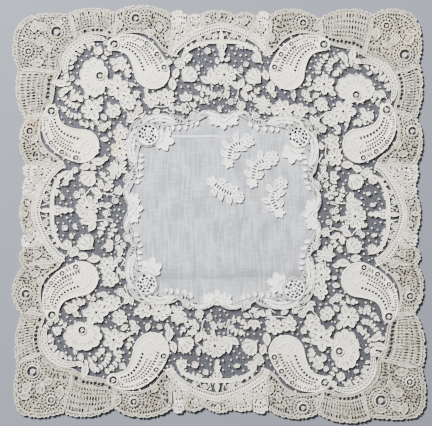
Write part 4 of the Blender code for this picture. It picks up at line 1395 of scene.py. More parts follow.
def cloth_mesh(cloths):
    """Vertices and triangles of filled cloth, in millimetres, and which triangles are walls of its holes."""
    vertices, triangles, inner_walls = [], [], []
    start = 0
    for outline, holes, low, high in cloths:
        loops = [outline, *holes]
        flat = np.vstack(loops)
        count = len(flat)
        fill = geometry.tessellate_polygon([[(x, y, 0.0) for x, y in loop] for loop in loops])
        fill = np.array(fill, int).reshape(-1, 3)
        a, b, c = flat[fill[:, 0]], flat[fill[:, 1]], flat[fill[:, 2]]
        flip = np.cross(b - a, c - a) < 0
        fill[flip] = fill[flip][:, ::-1]
        top = fill + start
        bottom = fill[:, ::-1] + start + count
        walls = []
        first = 0
        for number, loop in enumerate(loops):
            here = np.arange(len(loop)) + first
            there = np.roll(here, -1)
            x, y = loop[:, 0], loop[:, 1]
            area = (x * np.roll(y, -1) - np.roll(x, -1) * y).sum()
            if (area > 0) == (number > 0):
                here, there = there, here
            walls += [
                np.stack([here, here + count, there + count], 1),
                np.stack([here, there + count, there], 1),
            ]
            first += len(loop)
        lift = lay(flat)
        vertices += [np.column_stack([flat, lift + high]), np.column_stack([flat, lift + low])]
        triangles += [top, bottom, np.vstack(walls) + start]
        edge = len(loops[0])
        inner_walls += [np.zeros(2 * len(fill) + 2 * edge, bool), np.ones(2 * (count - edge), bool)]
        start += 2 * count
    return np.vstack(vertices), np.vstack(triangles), np.concatenate(inner_walls)


def cord_mesh(cords):
    """Vertices and triangles of cords: closed sweeps of a four-sided section that smooth shading rounds."""
    vertices, triangles = [], []
    start = 0
    across = np.array([-1.0, 0.0, 1.0, 0.0])
    up = np.array([0.0, 0.85, 0.0, -0.6])
    for path, radius, height, closed in cords:
        count = len(path)
        left = sideways(path, closed)
        wide = np.full(count, radius)
        if not closed:
            wide[[0, -1]] *= 0.55
        flat = path[:, None] - left[:, None] * (across * wide[:, None])[..., None]
        rise = lay(path)[:, None] + height + up * wide[:, None]
        vertices.append(np.concatenate([flat, rise[..., None]], 2).reshape(-1, 3))
        here = np.arange(count) * 4
        there = np.roll(here, -1)
        if not closed:
            here, there = here[:-1], there[:-1]
        for corner in range(4):
            after = (corner + 1) % 4
            a, b, c, d = here + corner, there + corner, there + after, here + after
            triangles += [np.stack([a, b, c], 1) + start, np.stack([a, c, d], 1) + start]
        if not closed:
            last = (count - 1) * 4
            caps = [[0, 1, 2], [0, 2, 3], [last, last + 2, last + 1], [last, last + 3, last + 2]]
            triangles.append(np.array(caps) + start)
        start += 4 * count
    return np.vstack(vertices), np.vstack(triangles)


def new_mesh_piece(name, vertices, triangles, smooth, materials, slot="lace", chosen=None):
    """A piece from vertices in millimetres of the cloth's frame; chosen numbers each triangle's material."""
    middle = EDGE_MIDDLE
    places = (vertices - (middle[0], middle[1], 0.0)) * MM
    mesh = bpy.data.meshes.new(name)
    mesh.vertices.add(len(places))
    mesh.vertices.foreach_set("co", places.astype(np.float32).ravel())
    mesh.loops.add(len(triangles) * 3)
    mesh.loops.foreach_set("vertex_index", triangles.astype(np.int32).ravel())
    mesh.polygons.add(len(triangles))
    mesh.polygons.foreach_set("loop_start", np.arange(len(triangles), dtype=np.int32) * 3)
    mesh.polygons.foreach_set("use_smooth", np.broadcast_to(smooth, len(triangles)).astype(bool))
    if chosen is not None:
        mesh.polygons.foreach_set("material_index", chosen.astype(np.int32))
    mesh.update(calc_edges=True)
    mesh.validate()
    piece = bpy.data.objects.new(name, mesh)
    bpy.context.scene.collection.objects.link(piece)
    for material in materials:
        mesh.materials.append(bpy.data.materials[material])
    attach(piece, "root")
    return piece


def new_work_piece(name, work, material, slot="lace"):
    """A piece of clothwork and the cords on it."""
    vertices, triangles, smooth, shaded = [], [], [], []
    if work.cloths:
        flat, fill, walls = cloth_mesh(work.cloths)
        vertices.append(flat)
        triangles.append(fill)
        smooth.append(np.zeros(len(fill), bool))
        shaded.append(walls)
    if work.cords:
        round_part, sweep = cord_mesh(work.cords)
        triangles.append(sweep + sum(map(len, vertices)))
        vertices.append(round_part)
        smooth.append(np.ones(len(sweep), bool))
        shaded.append(np.zeros(len(sweep), bool))
    # The walls of holes take the second finish, painted dark as shade
    return new_mesh_piece(
        name, np.vstack(vertices), np.vstack(triangles), np.concatenate(smooth), (material, "hole_wall_painted_shade"),
        slot, np.concatenate(shaded),
    )


# Where the net shows

def fill_mask(mask, outline):
    """Turns over the cells of mask whose middles lie in an outline."""
    spots = (outline + MASK_REACH) / MASK_STEP
    columns = np.arange(mask.shape[1]) + 0.5
    for (x0, y0), (x1, y1) in zip(spots, np.roll(spots, -1, 0)):
        low, high = sorted((y0, y1))
        rows = np.arange(math.ceil(low - 0.5), math.ceil(high - 0.5))
        if not len(rows):
            continue
        crossing = x0 + (rows + 0.5 - y0) * (x1 - x0) / (y1 - y0)
        left = max(int(min(x0, x1)) - 1, 0)
        mask[rows, left:] ^= columns[left:] > crossing[:, None]


def shrunk(mask, cells):
    """A mask that has lost its outermost cells."""
    for _ in range(cells):
        mask = (
            mask & np.roll(mask, 1, 0) & np.roll(mask, -1, 0) & np.roll(mask, 1, 1) & np.roll(mask, -1, 1)
        )
    return mask


@functools.cache
def net_mask():
    """Where the net is bare, as a grid of cells over the cloth."""
    size = round(2 * MASK_REACH / MASK_STEP)
    ground = np.zeros((size, size), bool)
    fill_mask(ground, edge_path())
    fill_mask(ground, settled(frame_line(FRAME_OUTER_HALF)))
    worked = np.zeros_like(ground)
    outlines = [outline for outline, holes, low, high in border_work()[0].cloths if len(outline) > 40]
    for name in QUARTER_WORK:
        for quarter in range(4):
            moved = quarter_turned(quarter_work(name), quarter)
            outlines += [outline for outline, holes, low, high in moved.cloths]
    for outline in outlines:
        low = np.clip(((outline.min(0) + MASK_REACH) / MASK_STEP).astype(int) - 2, 0, size)
        high = np.clip(((outline.max(0) + MASK_REACH) / MASK_STEP).astype(int) + 3, 0, size)
        part = np.zeros((high[1] - low[1], high[0] - low[0]), bool)
        fill_mask(part, outline - low * MASK_STEP)
        worked[low[1] : high[1], low[0] : high[0]] |= part
    return ground & ~shrunk(worked, 2)


def masked(mask, points):
    """Which points lie in the mask."""
    cells = np.clip(((points + MASK_REACH) / MASK_STEP).astype(int), 0, len(mask) - 1)
    return mask[cells[:, 1], cells[:, 0]]


def net_mesh(pitch, thread, height):
    """The net: six-sided meshes of twisted thread, each thread a low ridge, where the mask is open."""
    rng = np.random.default_rng(NET_SEED)
    rows = int(2 * MASK_REACH / (pitch * math.sqrt(0.75)))
    columns = int(2 * MASK_REACH / pitch)
    row, column = np.mgrid[0:rows, 0:columns]
    reach = pitch / math.sqrt(3)
    centres = np.stack(
        [(column + 0.5 * (row % 2)) * pitch - MASK_REACH, row * pitch * math.sqrt(0.75) - MASK_REACH], -1
    )
    drift = np.stack([np.sin(centres[..., 1] / 17.0), np.sin(centres[..., 0] / 21.0)], -1) * 0.5
    jitter = rng.uniform(-0.13, 0.13, (2, rows, columns, 2)) * pitch
    tops = centres + drift + jitter[0] + (0, reach)
    feet = centres + drift + jitter[1] - (0, reach)
    index = np.arange(rows * columns).reshape(rows, columns)
    joints = np.vstack([tops.reshape(-1, 2), feet.reshape(-1, 2)])
    total = rows * columns
    open_joint = masked(net_mask(), joints)
    side = thread / math.sin(math.radians(60))
    low_angles = {"top": (30, 150, 270), "foot": (90, 210, 330)}
    vertices = [np.column_stack([joints, np.full(len(joints), height + thread * 0.7)])]
    for kind, part in (("top", slice(0, total)), ("foot", slice(total, 2 * total))):
        for angle in low_angles[kind]:
            away = side * np.array([math.cos(math.radians(angle)), math.sin(math.radians(angle))])
            vertices.append(np.column_stack([joints[part] + away, np.full(total, height)]))
    # The ridge points of all joints come first, then the three low points of the tops and of the feet
    top_low = [2 * total + step * total for step in range(3)]
    foot_low = [5 * total + step * total for step in range(3)]
    right_up = np.where(row % 2 == 1, column + 1, column)
    left_up = right_up - 1
    links = (
        (row + 2, column, (0, 2), (1, 1)),
        (row + 1, right_up, (2, 1), (0, 0)),
        (row + 1, left_up, (1, 0), (2, 2)),
    )
    triangles = []
    for to_row, to_column, one, other in links:
        real = (to_row < rows) & (to_column >= 0) & (to_column < columns)
        start = index[real]
        end = index[np.minimum(to_row, rows - 1), np.clip(to_column, 0, columns - 1)][real]
        shown = open_joint[start] & open_joint[end + total]
        start, end = start[shown], end[shown]
        for low_start, low_end in (one, other):
            a, b = start, end + total
            c, d = end + foot_low[low_end], start + top_low[low_start]
            triangles += [np.stack([a, b, c], 1), np.stack([a, c, d], 1)]
    vertices, triangles = np.vstack(vertices), np.vstack(triangles)
    a, b, c = (vertices[triangles[:, corner], :2] for corner in range(3))
    flip = np.cross(b - a, c - a) < 0
    triangles[flip] = triangles[flip][:, ::-1]
    vertices[:, 2] += lay(vertices[:, :2])
    return vertices, triangles


def part_of(vertices, triangles, chosen):
    """The chosen triangles and the vertices that they use."""
    used, renumbered = np.unique(triangles[chosen], return_inverse=True)
    return vertices[used], renumbered.reshape(-1, 3)


# Finishes

def linear(colour):
    """An sRGB hex colour as linear red, green, blue and alpha."""
    parts = [int(colour[i : i + 2], 16) / 255 for i in (1, 3, 5)]
    return tuple(c / 12.92 if c <= 0.04045 else ((c + 0.055) / 1.055) ** 2.4 for c in parts) + (1.0,)


def add_node(tree, kind, inputs=None, **settings):
    """A shader node with its settings; each input is a value, or a node's output to link."""
    made = tree.nodes.new(kind)
    for key, value in settings.items():
        setattr(made, key, value)
    for key, value in (inputs or {}).items():
        if isinstance(value, bpy.types.NodeSocket):
            tree.links.new(value, made.inputs[key])
        else:
            made.inputs[key].default_value = value
    return made


def mixed(tree, share, first, second):
    """The colour between two, by share."""
    made = add_node(tree, "ShaderNodeMix", data_type="RGBA")
    for number, value in ((0, share), (6, first), (7, second)):
        if isinstance(value, bpy.types.NodeSocket):
            tree.links.new(value, made.inputs[number])
        else:
            made.inputs[number].default_value = value
    return made.outputs[2]


def stained(tree, coords, colour, place, reach, hue, strength):
    """Colour with an old stain at a place of the cloth, both in millimetres, uneven at its rim."""
    middle = EDGE_MIDDLE
    wander = add_node(tree, "ShaderNodeTexNoise", {"Vector": coords, "Scale": 90.0, "Detail": 3.0})
    centre = ((place[0] - middle[0]) * MM, (place[1] - middle[1]) * MM, 0.0)
    away = add_node(tree, "ShaderNodeVectorMath", {0: coords, 1: centre}, operation="DISTANCE")
    blurred = add_node(
        tree, "ShaderNodeMath", {0: wander.outputs["Fac"], 1: reach * MM * 0.9, 2: away.outputs["Value"]},
        operation="MULTIPLY_ADD",
    )
    share = add_node(
        tree, "ShaderNodeMapRange",
        {"Value": blurred.outputs[0], "From Min": reach * MM * 0.5, "From Max": reach * MM * 1.5,
         "To Min": strength, "To Max": 0.0},
        interpolation_type="SMOOTHSTEP",
    )
    return mixed(tree, share.outputs["Result"], colour, linear(hue))


# The needle's pin holes between the stitches, painted as dark dots of shade: their pitch, in millimetres
PINHOLE_PITCH = 1.8
# How far up the cloth the lawn's old fold lies, in millimetres
FOLD_Y = -59.5
# How far up the cloth the lawn's pressed crease lies, in millimetres
CREASE_Y = 81.5
# Old stains: place and reach in millimetres, colour and strength
STAINS = (
    {"place": (-186, 88), "reach": 12, "colour": "#b08d56", "strength": 0.55},
    {"place": (-150, 78), "reach": 26, "colour": "#d9c79a", "strength": 0.5},
    {"place": (-101, 66), "reach": 14, "colour": "#d6c68f", "strength": 0.5},
    {"place": (182, 176), "reach": 34, "colour": "#d5cda6", "strength": 0.5},
    {"place": (-150, -90), "reach": 30, "colour": "#ddd0ab", "strength": 0.35},
    {"place": (120, 60), "reach": 26, "colour": "#d9cfa8", "strength": 0.3},
    {"place": (60, -150), "reach": 30, "colour": "#dcd3b4", "strength": 0.3},
)


def thread_finish(name, colour, shade, stitch_mm, stains=(), roughness=0.85, bump=0.4, pinhole_shade=0.0):
    """A matt cotton finish: fine rows of stitches, cloudy ageing, old stains, and, where asked, pin holes painted as
    near-black dots of shade.
    """
    material = bpy.data.materials.new(name)
    material.use_nodes = True
    tree = material.node_tree
    shader = tree.nodes["Principled BSDF"]
    coords = add_node(tree, "ShaderNodeTexCoord").outputs["Object"]
    clouds = add_node(tree, "ShaderNodeTexNoise", {"Vector": coords, "Scale": 38.0, "Detail": 5.0, "Roughness": 0.6})
    stitches = add_node(
        tree, "ShaderNodeTexNoise", {"Vector": coords, "Scale": 1.0 / (stitch_mm * MM), "Detail": 2.0}
    )
    shade_share = add_node(
        tree, "ShaderNodeMapRange",
        {"Value": stitches.outputs["Fac"], "From Min": 0.35, "From Max": 0.65, "To Min": 0.0, "To Max": 0.55},
    )
    base = mixed(tree, shade_share.outputs["Result"], linear(colour), linear(shade))
    cloud_share = add_node(
        tree, "ShaderNodeMapRange",
        {"Value": clouds.outputs["Fac"], "From Min": 0.42, "From Max": 0.62, "To Min": 0.0, "To Max": 0.3},
    )
    base = mixed(tree, cloud_share.outputs["Result"], base, linear(shade))
    for row in stains:
        base = stained(tree, coords, base, row["place"], row["reach"], row["colour"], row["strength"])
    # Painted shade: near-black dots where the pin holes are, for the shadow seen through them, denser in open patches
    if pinhole_shade:
        dots = add_node(
            tree, "ShaderNodeTexVoronoi", {"Vector": coords, "Scale": 1.0 / (PINHOLE_PITCH * MM)},
            voronoi_dimensions="2D",
        )
        painted_pin_shade = add_node(
            tree, "ShaderNodeMapRange",
            {"Value": dots.outputs["Distance"], "From Min": 0.26, "From Max": 0.46, "To Min": pinhole_shade, "To Max": 0.0},
            interpolation_type="SMOOTHSTEP",
        )
        patches = add_node(tree, "ShaderNodeTexNoise", {"Vector": coords, "Scale": 130.0, "Detail": 1.0})
        open_share = add_node(
            tree, "ShaderNodeMapRange",
            {"Value": patches.outputs["Fac"], "From Min": 0.36, "From Max": 0.54, "To Min": 0.4, "To Max": 1.0},
        )
        painted_pin_shade = add_node(
            tree, "ShaderNodeMath", {0: painted_pin_shade.outputs["Result"], 1: open_share.outputs["Result"]}, operation="MULTIPLY"
        )
        base = mixed(tree, painted_pin_shade.outputs[0], base, linear("#0c0c0e"))
    relief = add_node(
        tree, "ShaderNodeBump",
        {"Height": stitches.outputs["Fac"], "Strength": bump, "Distance": 0.25 * MM},
    )
    tree.links.new(base, shader.inputs["Base Color"])
    tree.links.new(relief.outputs["Normal"], shader.inputs["Normal"])
    shader.inputs["Roughness"].default_value = roughness
    shader.inputs["Sheen Weight"].default_value = 0.15
    shader.inputs["Sheen Roughness"].default_value = 0.5
    return material


def lawn_finish(name, colour, shade):
    """Fine woven cotton lawn: thick and thin threads make faint streaks both ways, and it is a little sheer."""
    material = bpy.data.materials.new(name)
    material.use_nodes = True
    tree = material.node_tree
    shader = tree.nodes["Principled BSDF"]
    coords = add_node(tree, "ShaderNodeTexCoord").outputs["Object"]
    streaks = []
    bend = add_node(tree, "ShaderNodeTexNoise", {"Vector": coords, "Scale": 16.0, "Detail": 1.0})
    bent = add_node(
        tree, "ShaderNodeVectorMath", {0: bend.outputs["Color"], 1: (0.008, 0.008, 0.0), 2: coords},
        operation="MULTIPLY_ADD",
    )
    for scale in ((850.0, 45.0, 1.0), (420.0, 30.0, 1.0), (60.0, 45.0, 1.0), (90.0, 1000.0, 1.0)):
        stretched = add_node(tree, "ShaderNodeVectorMath", {0: bent.outputs[0], 1: scale}, operation="MULTIPLY")
        streaks.append(
            add_node(
                tree, "ShaderNodeTexNoise", {"Vector": stretched.outputs[0], "Scale": 1.0, "Detail": 2.0}
            ).outputs["Fac"]
        )
    total = streaks[0]
    for streak in streaks[1:]:
        total = add_node(tree, "ShaderNodeMath", {0: total, 1: streak}, operation="ADD").outputs[0]
    share = add_node(
        tree, "ShaderNodeMapRange",
        {"Value": total, "From Min": 1.78, "From Max": 2.22, "To Min": 0.0, "To Max": 1.0},
    )
    base = mixed(tree, share.outputs["Result"], linear(colour), linear(shade))
    # A darker grey band along an old fold across the lawn: sharp at the fold line, fading over 15 mm above it, uneven
    # in blotches
    across = add_node(tree, "ShaderNodeSeparateXYZ", {0: bent.outputs[0]})
    away = add_node(tree, "ShaderNodeMath", {0: across.outputs["Y"], 1: -FOLD_Y * MM}, operation="ADD")
    above = add_node(
        tree, "ShaderNodeMapRange",
        {"Value": away.outputs[0], "From Min": 0.0, "From Max": 0.015, "To Min": 0.75, "To Max": 0.0},
        interpolation_type="SMOOTHSTEP",
    )
    below = add_node(
        tree, "ShaderNodeMapRange",
        {"Value": away.outputs[0], "From Min": -0.0015, "From Max": 0.0005, "To Min": 0.0, "To Max": 1.0},
    )
    fold_band = add_node(
        tree, "ShaderNodeMath", {0: above.outputs["Result"], 1: below.outputs["Result"]}, operation="MULTIPLY"
    )
    blotches = add_node(tree, "ShaderNodeTexNoise", {"Vector": bent.outputs[0], "Scale": 70.0, "Detail": 3.0})
    fold_blotching = add_node(
        tree, "ShaderNodeMapRange",
        {"Value": blotches.outputs["Fac"], "From Min": 0.36, "From Max": 0.62, "To Min": 0.35, "To Max": 1.0},
    )
    fold_band = add_node(tree, "ShaderNodeMath", {0: fold_band.outputs[0], 1: fold_blotching.outputs["Result"]}, operation="MULTIPLY")
    base = mixed(tree, fold_band.outputs[0], base, linear("#6c6f6c"))
    # A pressed crease near the top edge, paler than the lawn
    crease_away = add_node(tree, "ShaderNodeMath", {0: across.outputs["Y"], 1: CREASE_Y * MM}, operation="SUBTRACT")
    crease_away = add_node(tree, "ShaderNodeMath", {0: crease_away.outputs[0]}, operation="ABSOLUTE")
    crease = add_node(
        tree, "ShaderNodeMapRange",
        {"Value": crease_away.outputs[0], "From Min": 0.0003, "From Max": 0.0011, "To Min": 0.8, "To Max": 0.0},
    )
    beyond = add_node(
        tree, "ShaderNodeMapRange",
        {"Value": across.outputs["X"], "From Min": 0.0, "From Max": 0.02, "To Min": 1.0, "To Max": 0.0},
    )
    pressed = add_node(
        tree, "ShaderNodeMath", {0: crease.outputs["Result"], 1: beyond.outputs["Result"]}, operation="MULTIPLY"
    )
    base = mixed(tree, pressed.outputs[0], base, linear("#f2f3f5"))
    relief = add_node(tree, "ShaderNodeBump", {"Height": total, "Strength": 0.25, "Distance": 0.2 * MM})
    tree.links.new(base, shader.inputs["Base Color"])
    tree.links.new(relief.outputs["Normal"], shader.inputs["Normal"])
    shader.inputs["Roughness"].default_value = 0.8
    shader.inputs["Sheen Weight"].default_value = 0.2
    return material


def paper_finish(name, colour):
    """Plain matt backing paper with a faint tooth."""
    material = bpy.data.materials.new(name)
    material.use_nodes = True
    tree = material.node_tree
    shader = tree.nodes["Principled BSDF"]
    coords = add_node(tree, "ShaderNodeTexCoord").outputs["Object"]
    tooth = add_node(tree, "ShaderNodeTexNoise", {"Vector": coords, "Scale": 900.0, "Detail": 3.0})
    relief = add_node(tree, "ShaderNodeBump", {"Height": tooth.outputs["Fac"], "Strength": 0.1, "Distance": 0.2 * MM})
    tree.links.new(relief.outputs["Normal"], shader.inputs["Normal"])
    shader.inputs["Base Color"].default_value = linear(colour)
    shader.inputs["Roughness"].default_value = 0.9
    return material


# The add-on

class LaceSettings(bpy.types.PropertyGroup):
    """The sizes and colours of the handkerchief."""

    net_pitch: bpy.props.FloatProperty(
        name="Net pitch", description="Width of one mesh of the net, in millimetres", default=1.7, min=1.0, max=4.0
    )
    net_thread: bpy.props.FloatProperty(
        name="Net thread", description="Half the width of the net's thread, in millimetres", default=0.33,
        min=0.05, max=0.5,
    )
    knot_pitch: bpy.props.FloatProperty(
        name="Knot pitch", description="Distance between the small knots on the net, in millimetres", default=6.2,
        min=3.0, max=20.0,
    )
    floret_pitch: bpy.props.FloatProperty(
        name="Floret pitch", description="Distance between the small florets on the net, in millimetres", default=14.5,
        min=5.0, max=30.0,
    )
    lace_colour: bpy.props.StringProperty(
        name="Lace colour", description="Colour of the aged cotton clothwork, sRGB hex", default="#f6f1e2"
    )
    lawn_colour: bpy.props.StringProperty(
        name="Lawn colour", description="Colour of the sheer lawn, sRGB hex", default="#b3b5ba"
    )
    # Painted shade: the net thread is given the darkness seen through the net, not its own cream colour
    net_painted_shade_colour: bpy.props.StringProperty(
        name="Net colour", description="Colour of the fine net thread, sRGB hex", default="#34323b"
    )


class StageSettings(bpy.types.PropertyGroup):
    """The floor, light and camera."""

    floor_colour: bpy.props.StringProperty(
        name="Floor colour", description="Colour of the paper the cloth lies on, sRGB hex", default="#6c7079"
    )
    key_power: bpy.props.FloatProperty(
        name="Key power", description="Power of the large soft light, in watts", default=385.0, unit="POWER"
    )
    view_width: bpy.props.FloatProperty(
        name="View width", description="Width of the floor that the camera sees", default=0.432, unit="LENGTH"
    )


class LACE_OT_finishes(bpy.types.Operator):
    """Make the cotton finishes"""

    bl_idname = "lace.finishes"
    bl_label = "Finishes"

    def execute(self, context):
        settings = context.scene.lace
        # Needle-made clothwork: close buttonhole stitches in aged cream cotton, with faint pin holes painted as dark
        # dots of shade
        thread_finish("cotton_clothwork", settings.lace_colour, "#cfc9b8", 0.9, STAINS, pinhole_shade=0.25)
        # The border's ground: the same stitches worked more openly, so pin holes show between them; its darker colour
        # and its near-black pin holes are painted shade, for the shadow seen through the open work
        thread_finish("cotton_ground", "#bfb8a5", "#7f7866", 0.9, STAINS, pinhole_shade=0.97)
        # The border's padded leaves, scrolls and buds: close stitches in rows, with a few pin holes painted as dark
        # dots of shade
        thread_finish("cotton_padded", "#d3ccb9", "#978f7b", 1.1, STAINS, pinhole_shade=0.8)
        # The sides of the needle holes, which lie in the thread's own shade: painted shade, a dark colour that stands
        # in for the shadow in the holes
        thread_finish("hole_wall_painted_shade", "#55534f", "#45433f", 0.9, (), 0.95, 0.1)
        # Padded cord: thread bound over a bundle, so it is smoother and catches more light; its paler colour is a
        # painted highlight on the raised cord
        thread_finish("cotton_cord", "#faf6ea", "#e2dccb", 1.2, STAINS, 0.75, 0.25)
        # The border's own cords and picots, more aged than the motifs' cords
        thread_finish("cotton_edging", "#ddd7c7", "#afa894", 1.2, STAINS, 0.75, 0.25)
        # Net: the same cotton, one fine twisted thread, which the light passes round; its dark colour is painted
        # shade, for the darkness seen through the net, not the cream thread's own colour
        thread_finish("net_thread_painted_shade", settings.net_painted_shade_colour, "#2b2930", 2.5, (), 0.85, 0.1)
        # White embroidery on the lawn: unaged satin stitch
        thread_finish("white_embroidery", "#f7f6f1", "#dfdfdc", 1.0, (), 0.7, 0.3)
        # The frame's ground and the roundels: the same white, worked more openly; its grey and its dark pin holes are
        # painted shade, for the shadow seen through the open work
        thread_finish("frame_ground", "#cfcecb", "#999999", 0.9, (), pinhole_shade=0.85)
        lawn_finish("woven_lawn", settings.lawn_colour, "#868991")
        return {"FINISHED"}


class LACE_OT_border(bpy.types.Operator):
    """Work the dense scalloped border, its wheels and its picots"""

    bl_idname = "lace.border"
    bl_label = "Border"

    def execute(self, context):
        work, pads = border_work()
        palms = Work()
        for quarter in range(4):
            palms.add(quarter_turned(quarter_work("palms"), quarter))
        lobes = [cloth for cloth in work.cloths if len(cloth[0]) > 40]
        plain = [cloth for cloth in work.cloths if len(cloth[0]) <= 40] + palms.cloths
        kinds = (lobes, plain, pads.cloths)
        vertices, triangles, walls = cloth_mesh(lobes + plain + pads.cloths)
        chosen = np.repeat((0, 1, 2), [len(cloth_mesh(cloths)[1]) for cloths in kinds])
        # The walls of the holes take the painted shade finish
        chosen[walls] = 3
        finishes = ("cotton_ground", "cotton_clothwork", "cotton_padded", "hole_wall_painted_shade")
        piece = new_mesh_piece("border_clothwork", vertices, triangles, False, finishes, chosen=chosen)
        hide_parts("lace_border")
        work.cords += pads.cords
        palm_cords = Work()
        palm_cords.cords = palms.cords
        new_work_piece("palm_cords", palm_cords, "cotton_cord")
        vertices, triangles = cord_mesh(work.cords)
        middles = vertices[triangles[:, 0], :2]
        quarter = (middles[:, 0] > 0) * 1 + (middles[:, 1] > 0) * 2
        for number in range(4):
            chosen = part_of(vertices, triangles, quarter == number)
            new_mesh_piece(f"border_cords_{number + 1}", *chosen, True, ("cotton_edging",))
        return {"FINISHED"}


class LACE_OT_motifs(bpy.types.Operator):
    """Work the scrolls, roses, flowers, leaves and cartouches"""

    bl_idname = "lace.motifs"
    bl_label = "Motifs"

    def execute(self, context):
        for name in ("horn_scrolls", "roses", "blooms", "leaf_sprigs", "cartouches"):
            for quarter in range(4):
                moved = quarter_turned(quarter_work(name), quarter)
                new_work_piece(f"{name}_{quarter + 1}", moved, "cotton_clothwork")
        return {"FINISHED"}


class LACE_OT_net(bpy.types.Operator):
    """Work the net ground and the small knots on it"""

    bl_idname = "lace.net"
    bl_label = "Net"

    def execute(self, context):
        settings = context.scene.lace
        vertices, triangles = net_mesh(settings.net_pitch, settings.net_thread, NET_HEIGHT)
        middles = vertices[triangles[:, 0], :2]
        quarter = (middles[:, 0] > 0) * 1 + (middles[:, 1] > 0) * 2
        for number in range(4):
            chosen = part_of(vertices, triangles, quarter == number)
            # The net takes its painted shade finish
            new_mesh_piece(f"net_ground_{number + 1}", *chosen, True, ("net_thread_painted_shade",))
        rng = np.random.default_rng(KNOT_SEED)
        square = np.array(((-1, -1), (1, -1), (1, 1), (-1, 1))) * MASK_REACH
        florets = Work()
        places = scattered(rng, square, settings.floret_pitch)
        places = places[masked(shrunk(net_mask(), 8), places)]
        for place in places:
            radius = rng.uniform(2.5, 3.5)
            if rng.uniform() < 0.45:
                bloom(florets, place, radius, 4 + int(rng.integers(0, 2)), rng.uniform(0, 90), heart=0)
                continue
            for turn in (-40, 0, 40):
                leaf(florets, place, rng.uniform(0, 25) + turn + 90 * (place[0] > 0), radius * 1.3, 1.2, False, 4)
        new_work_piece("net_florets", florets, "cotton_clothwork")
        knots = Work()
        near = np.array(places)
        for place in scattered(rng, square, settings.knot_pitch):
            if not masked(shrunk(net_mask(), 3), place[None])[0]:
                continue
            if len(near) and np.linalg.norm(near - place, axis=1).min() < 4.6:
                continue
            knots.cloth(circle(place, rng.uniform(0.6, 0.95), 7), low=NET_HEIGHT)
        new_work_piece("net_knots", knots, "cotton_cord")
        return {"FINISHED"}


class LACE_OT_frame(bpy.types.Operator):
    """Work the scrolled frame round the lawn and the roundels in its corners"""

    bl_idname = "lace.frame"
    bl_label = "Frame and roundels"

    def execute(self, context):
        new_work_piece("scroll_frame", frame_work(), "frame_ground")
        for quarter in range(4):
            for name in ("frame_leaves", "frame_scrolls"):
                moved = quarter_turned(quarter_work(name), quarter)
                new_work_piece(f"{name}_{quarter + 1}", moved, "white_embroidery")
            piece = new_work_piece(f"roundel_filling_{quarter + 1}", roundel_work(quarter), "white_embroidery")
            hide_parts(f"roundel_{quarter + 1}")
        return {"FINISHED"}


class LACE_OT_lawn(bpy.types.Operator):
    """Lay the lawn and work its sprays"""

    bl_idname = "lace.lawn"
    bl_label = "Lawn"

    def execute(self, context):
        outline = settled(frame_line(FRAME_INNER_HALF))
        outline = shifted(resampled(outline, 240, closed=True), 1.4, closed=True)
        lawn = Work()
        lawn.cloth(outline, clear_holes(spray_openings(), outline), LAWN_HEIGHT, LAWN_HEIGHT + LAWN_THICK)
        piece = new_work_piece("lawn", lawn, "woven_lawn", "lawn")
        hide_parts("lawn_panel")
        new_work_piece("lawn_sprays", spray_work(), "white_embroidery", "lawn")
        return {"FINISHED"}


class LACE_OT_declare(bpy.types.Operator):
    """Gather the cloths of the border, its raised work and the palms, and do nothing more with them"""

    bl_idname = "lace.declare"
    bl_label = "Sheets"

    def execute(self, context):
        cloths = border_work()[0].cloths + border_work()[1].cloths
        for quarter in range(4):
            cloths += quarter_turned(quarter_work("palms"), quarter).cloths
        return {"FINISHED"}


class LACE_OT_stage(bpy.types.Operator):
    """Set the floor, the soft light and the camera"""

    bl_idname = "lace.stage"
    bl_label = "Stage"

    def execute(self, context):
        stage = context.scene.lace_stage
        mesh = bpy.data.meshes.new("floor")
        reach = 3.0
        mesh.from_pydata([(-reach, -reach, 0), (reach, -reach, 0), (reach, reach, 0), (-reach, reach, 0)], [], [(0, 1, 2, 3)])
        floor = bpy.data.objects.new("floor", mesh)
        floor.location.z = -0.0001
        context.scene.collection.objects.link(floor)
        paper_finish("matt_paper", stage.floor_colour)
        mesh.materials.append(bpy.data.materials["matt_paper"])
        add_light(context, "key", (-1.4, 1.7, 1.2), 0.4, stage.key_power)
        add_light(context, "fill", (1.4, -1.2, 2.2), 1.6, stage.key_power * 0.028)
        world = bpy.data.worlds.new("studio")
        world.use_nodes = True
        world.node_tree.nodes["Background"].inputs["Color"].default_value = linear("#eef0f2")
        world.node_tree.nodes["Background"].inputs["Strength"].default_value = 0.16
        context.scene.world = world
        add_camera(context, stage.view_width)
        return {"FINISHED"}


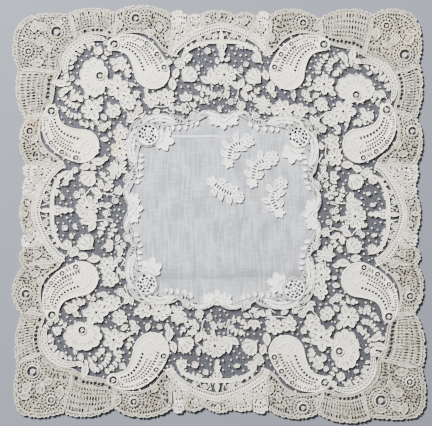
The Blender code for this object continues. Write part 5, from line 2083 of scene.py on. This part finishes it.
def add_light(context, name, place, size, power):
    """A square soft light that faces the cloth's middle."""
    data = bpy.data.lights.new(name, "AREA")
    data.size = size
    data.energy = power
    light = bpy.data.objects.new(name, data)
    light.location = place
    light.rotation_mode = "QUATERNION"
    light.rotation_quaternion = light.location.to_track_quat("Z", "Y")
    context.scene.collection.objects.link(light)


def add_camera(context, width):
    """A long lens straight above the cloth, as the photograph was taken."""
    middle = EDGE_MIDDLE
    data = bpy.data.cameras.new("camera")
    data.lens = 85.0
    data.sensor_width = 36.0
    camera = bpy.data.objects.new("camera", data)
    camera.location = ((-2.5 - middle[0]) * MM, -middle[1] * MM, width * data.lens / data.sensor_width)
    data.clip_start = 0.01
    context.scene.collection.objects.link(camera)
    context.scene.camera = camera


class LACE_PT_panel(bpy.types.Panel):
    """The handkerchief's steps, in order"""

    bl_label = "Lace handkerchief"
    bl_idname = "LACE_PT_panel"
    bl_space_type = "VIEW_3D"
    bl_region_type = "UI"
    bl_category = "Lace"

    def draw(self, context):
        for settings in (context.scene.lace, context.scene.lace_stage):
            for name in settings.__annotations__:
                self.layout.prop(settings, name)
        for step in STEPS:
            self.layout.operator(step.bl_idname)


STEPS = (
    LACE_OT_finishes,
    LACE_OT_border,
    LACE_OT_motifs,
    LACE_OT_net,
    LACE_OT_frame,
    LACE_OT_lawn,
    LACE_OT_stage,
    LACE_OT_declare,
)
CLASSES = (LaceSettings, StageSettings, *STEPS, LACE_PT_panel)


def register():
    for made in CLASSES:
        bpy.utils.register_class(made)
    bpy.types.Scene.lace = bpy.props.PointerProperty(type=LaceSettings)
    bpy.types.Scene.lace_stage = bpy.props.PointerProperty(type=StageSettings)


def unregister():
    del bpy.types.Scene.lace_stage
    del bpy.types.Scene.lace
    for made in reversed(CLASSES):
        bpy.utils.unregister_class(made)


def main():
    register()
    bpy.ops.lace.finishes()
    bpy.ops.lace.border()
    bpy.ops.lace.motifs()
    bpy.ops.lace.net()
    bpy.ops.lace.frame()
    bpy.ops.lace.lawn()
    bpy.ops.lace.stage()
    bpy.ops.lace.declare()


if __name__ == "__main__":
    main()
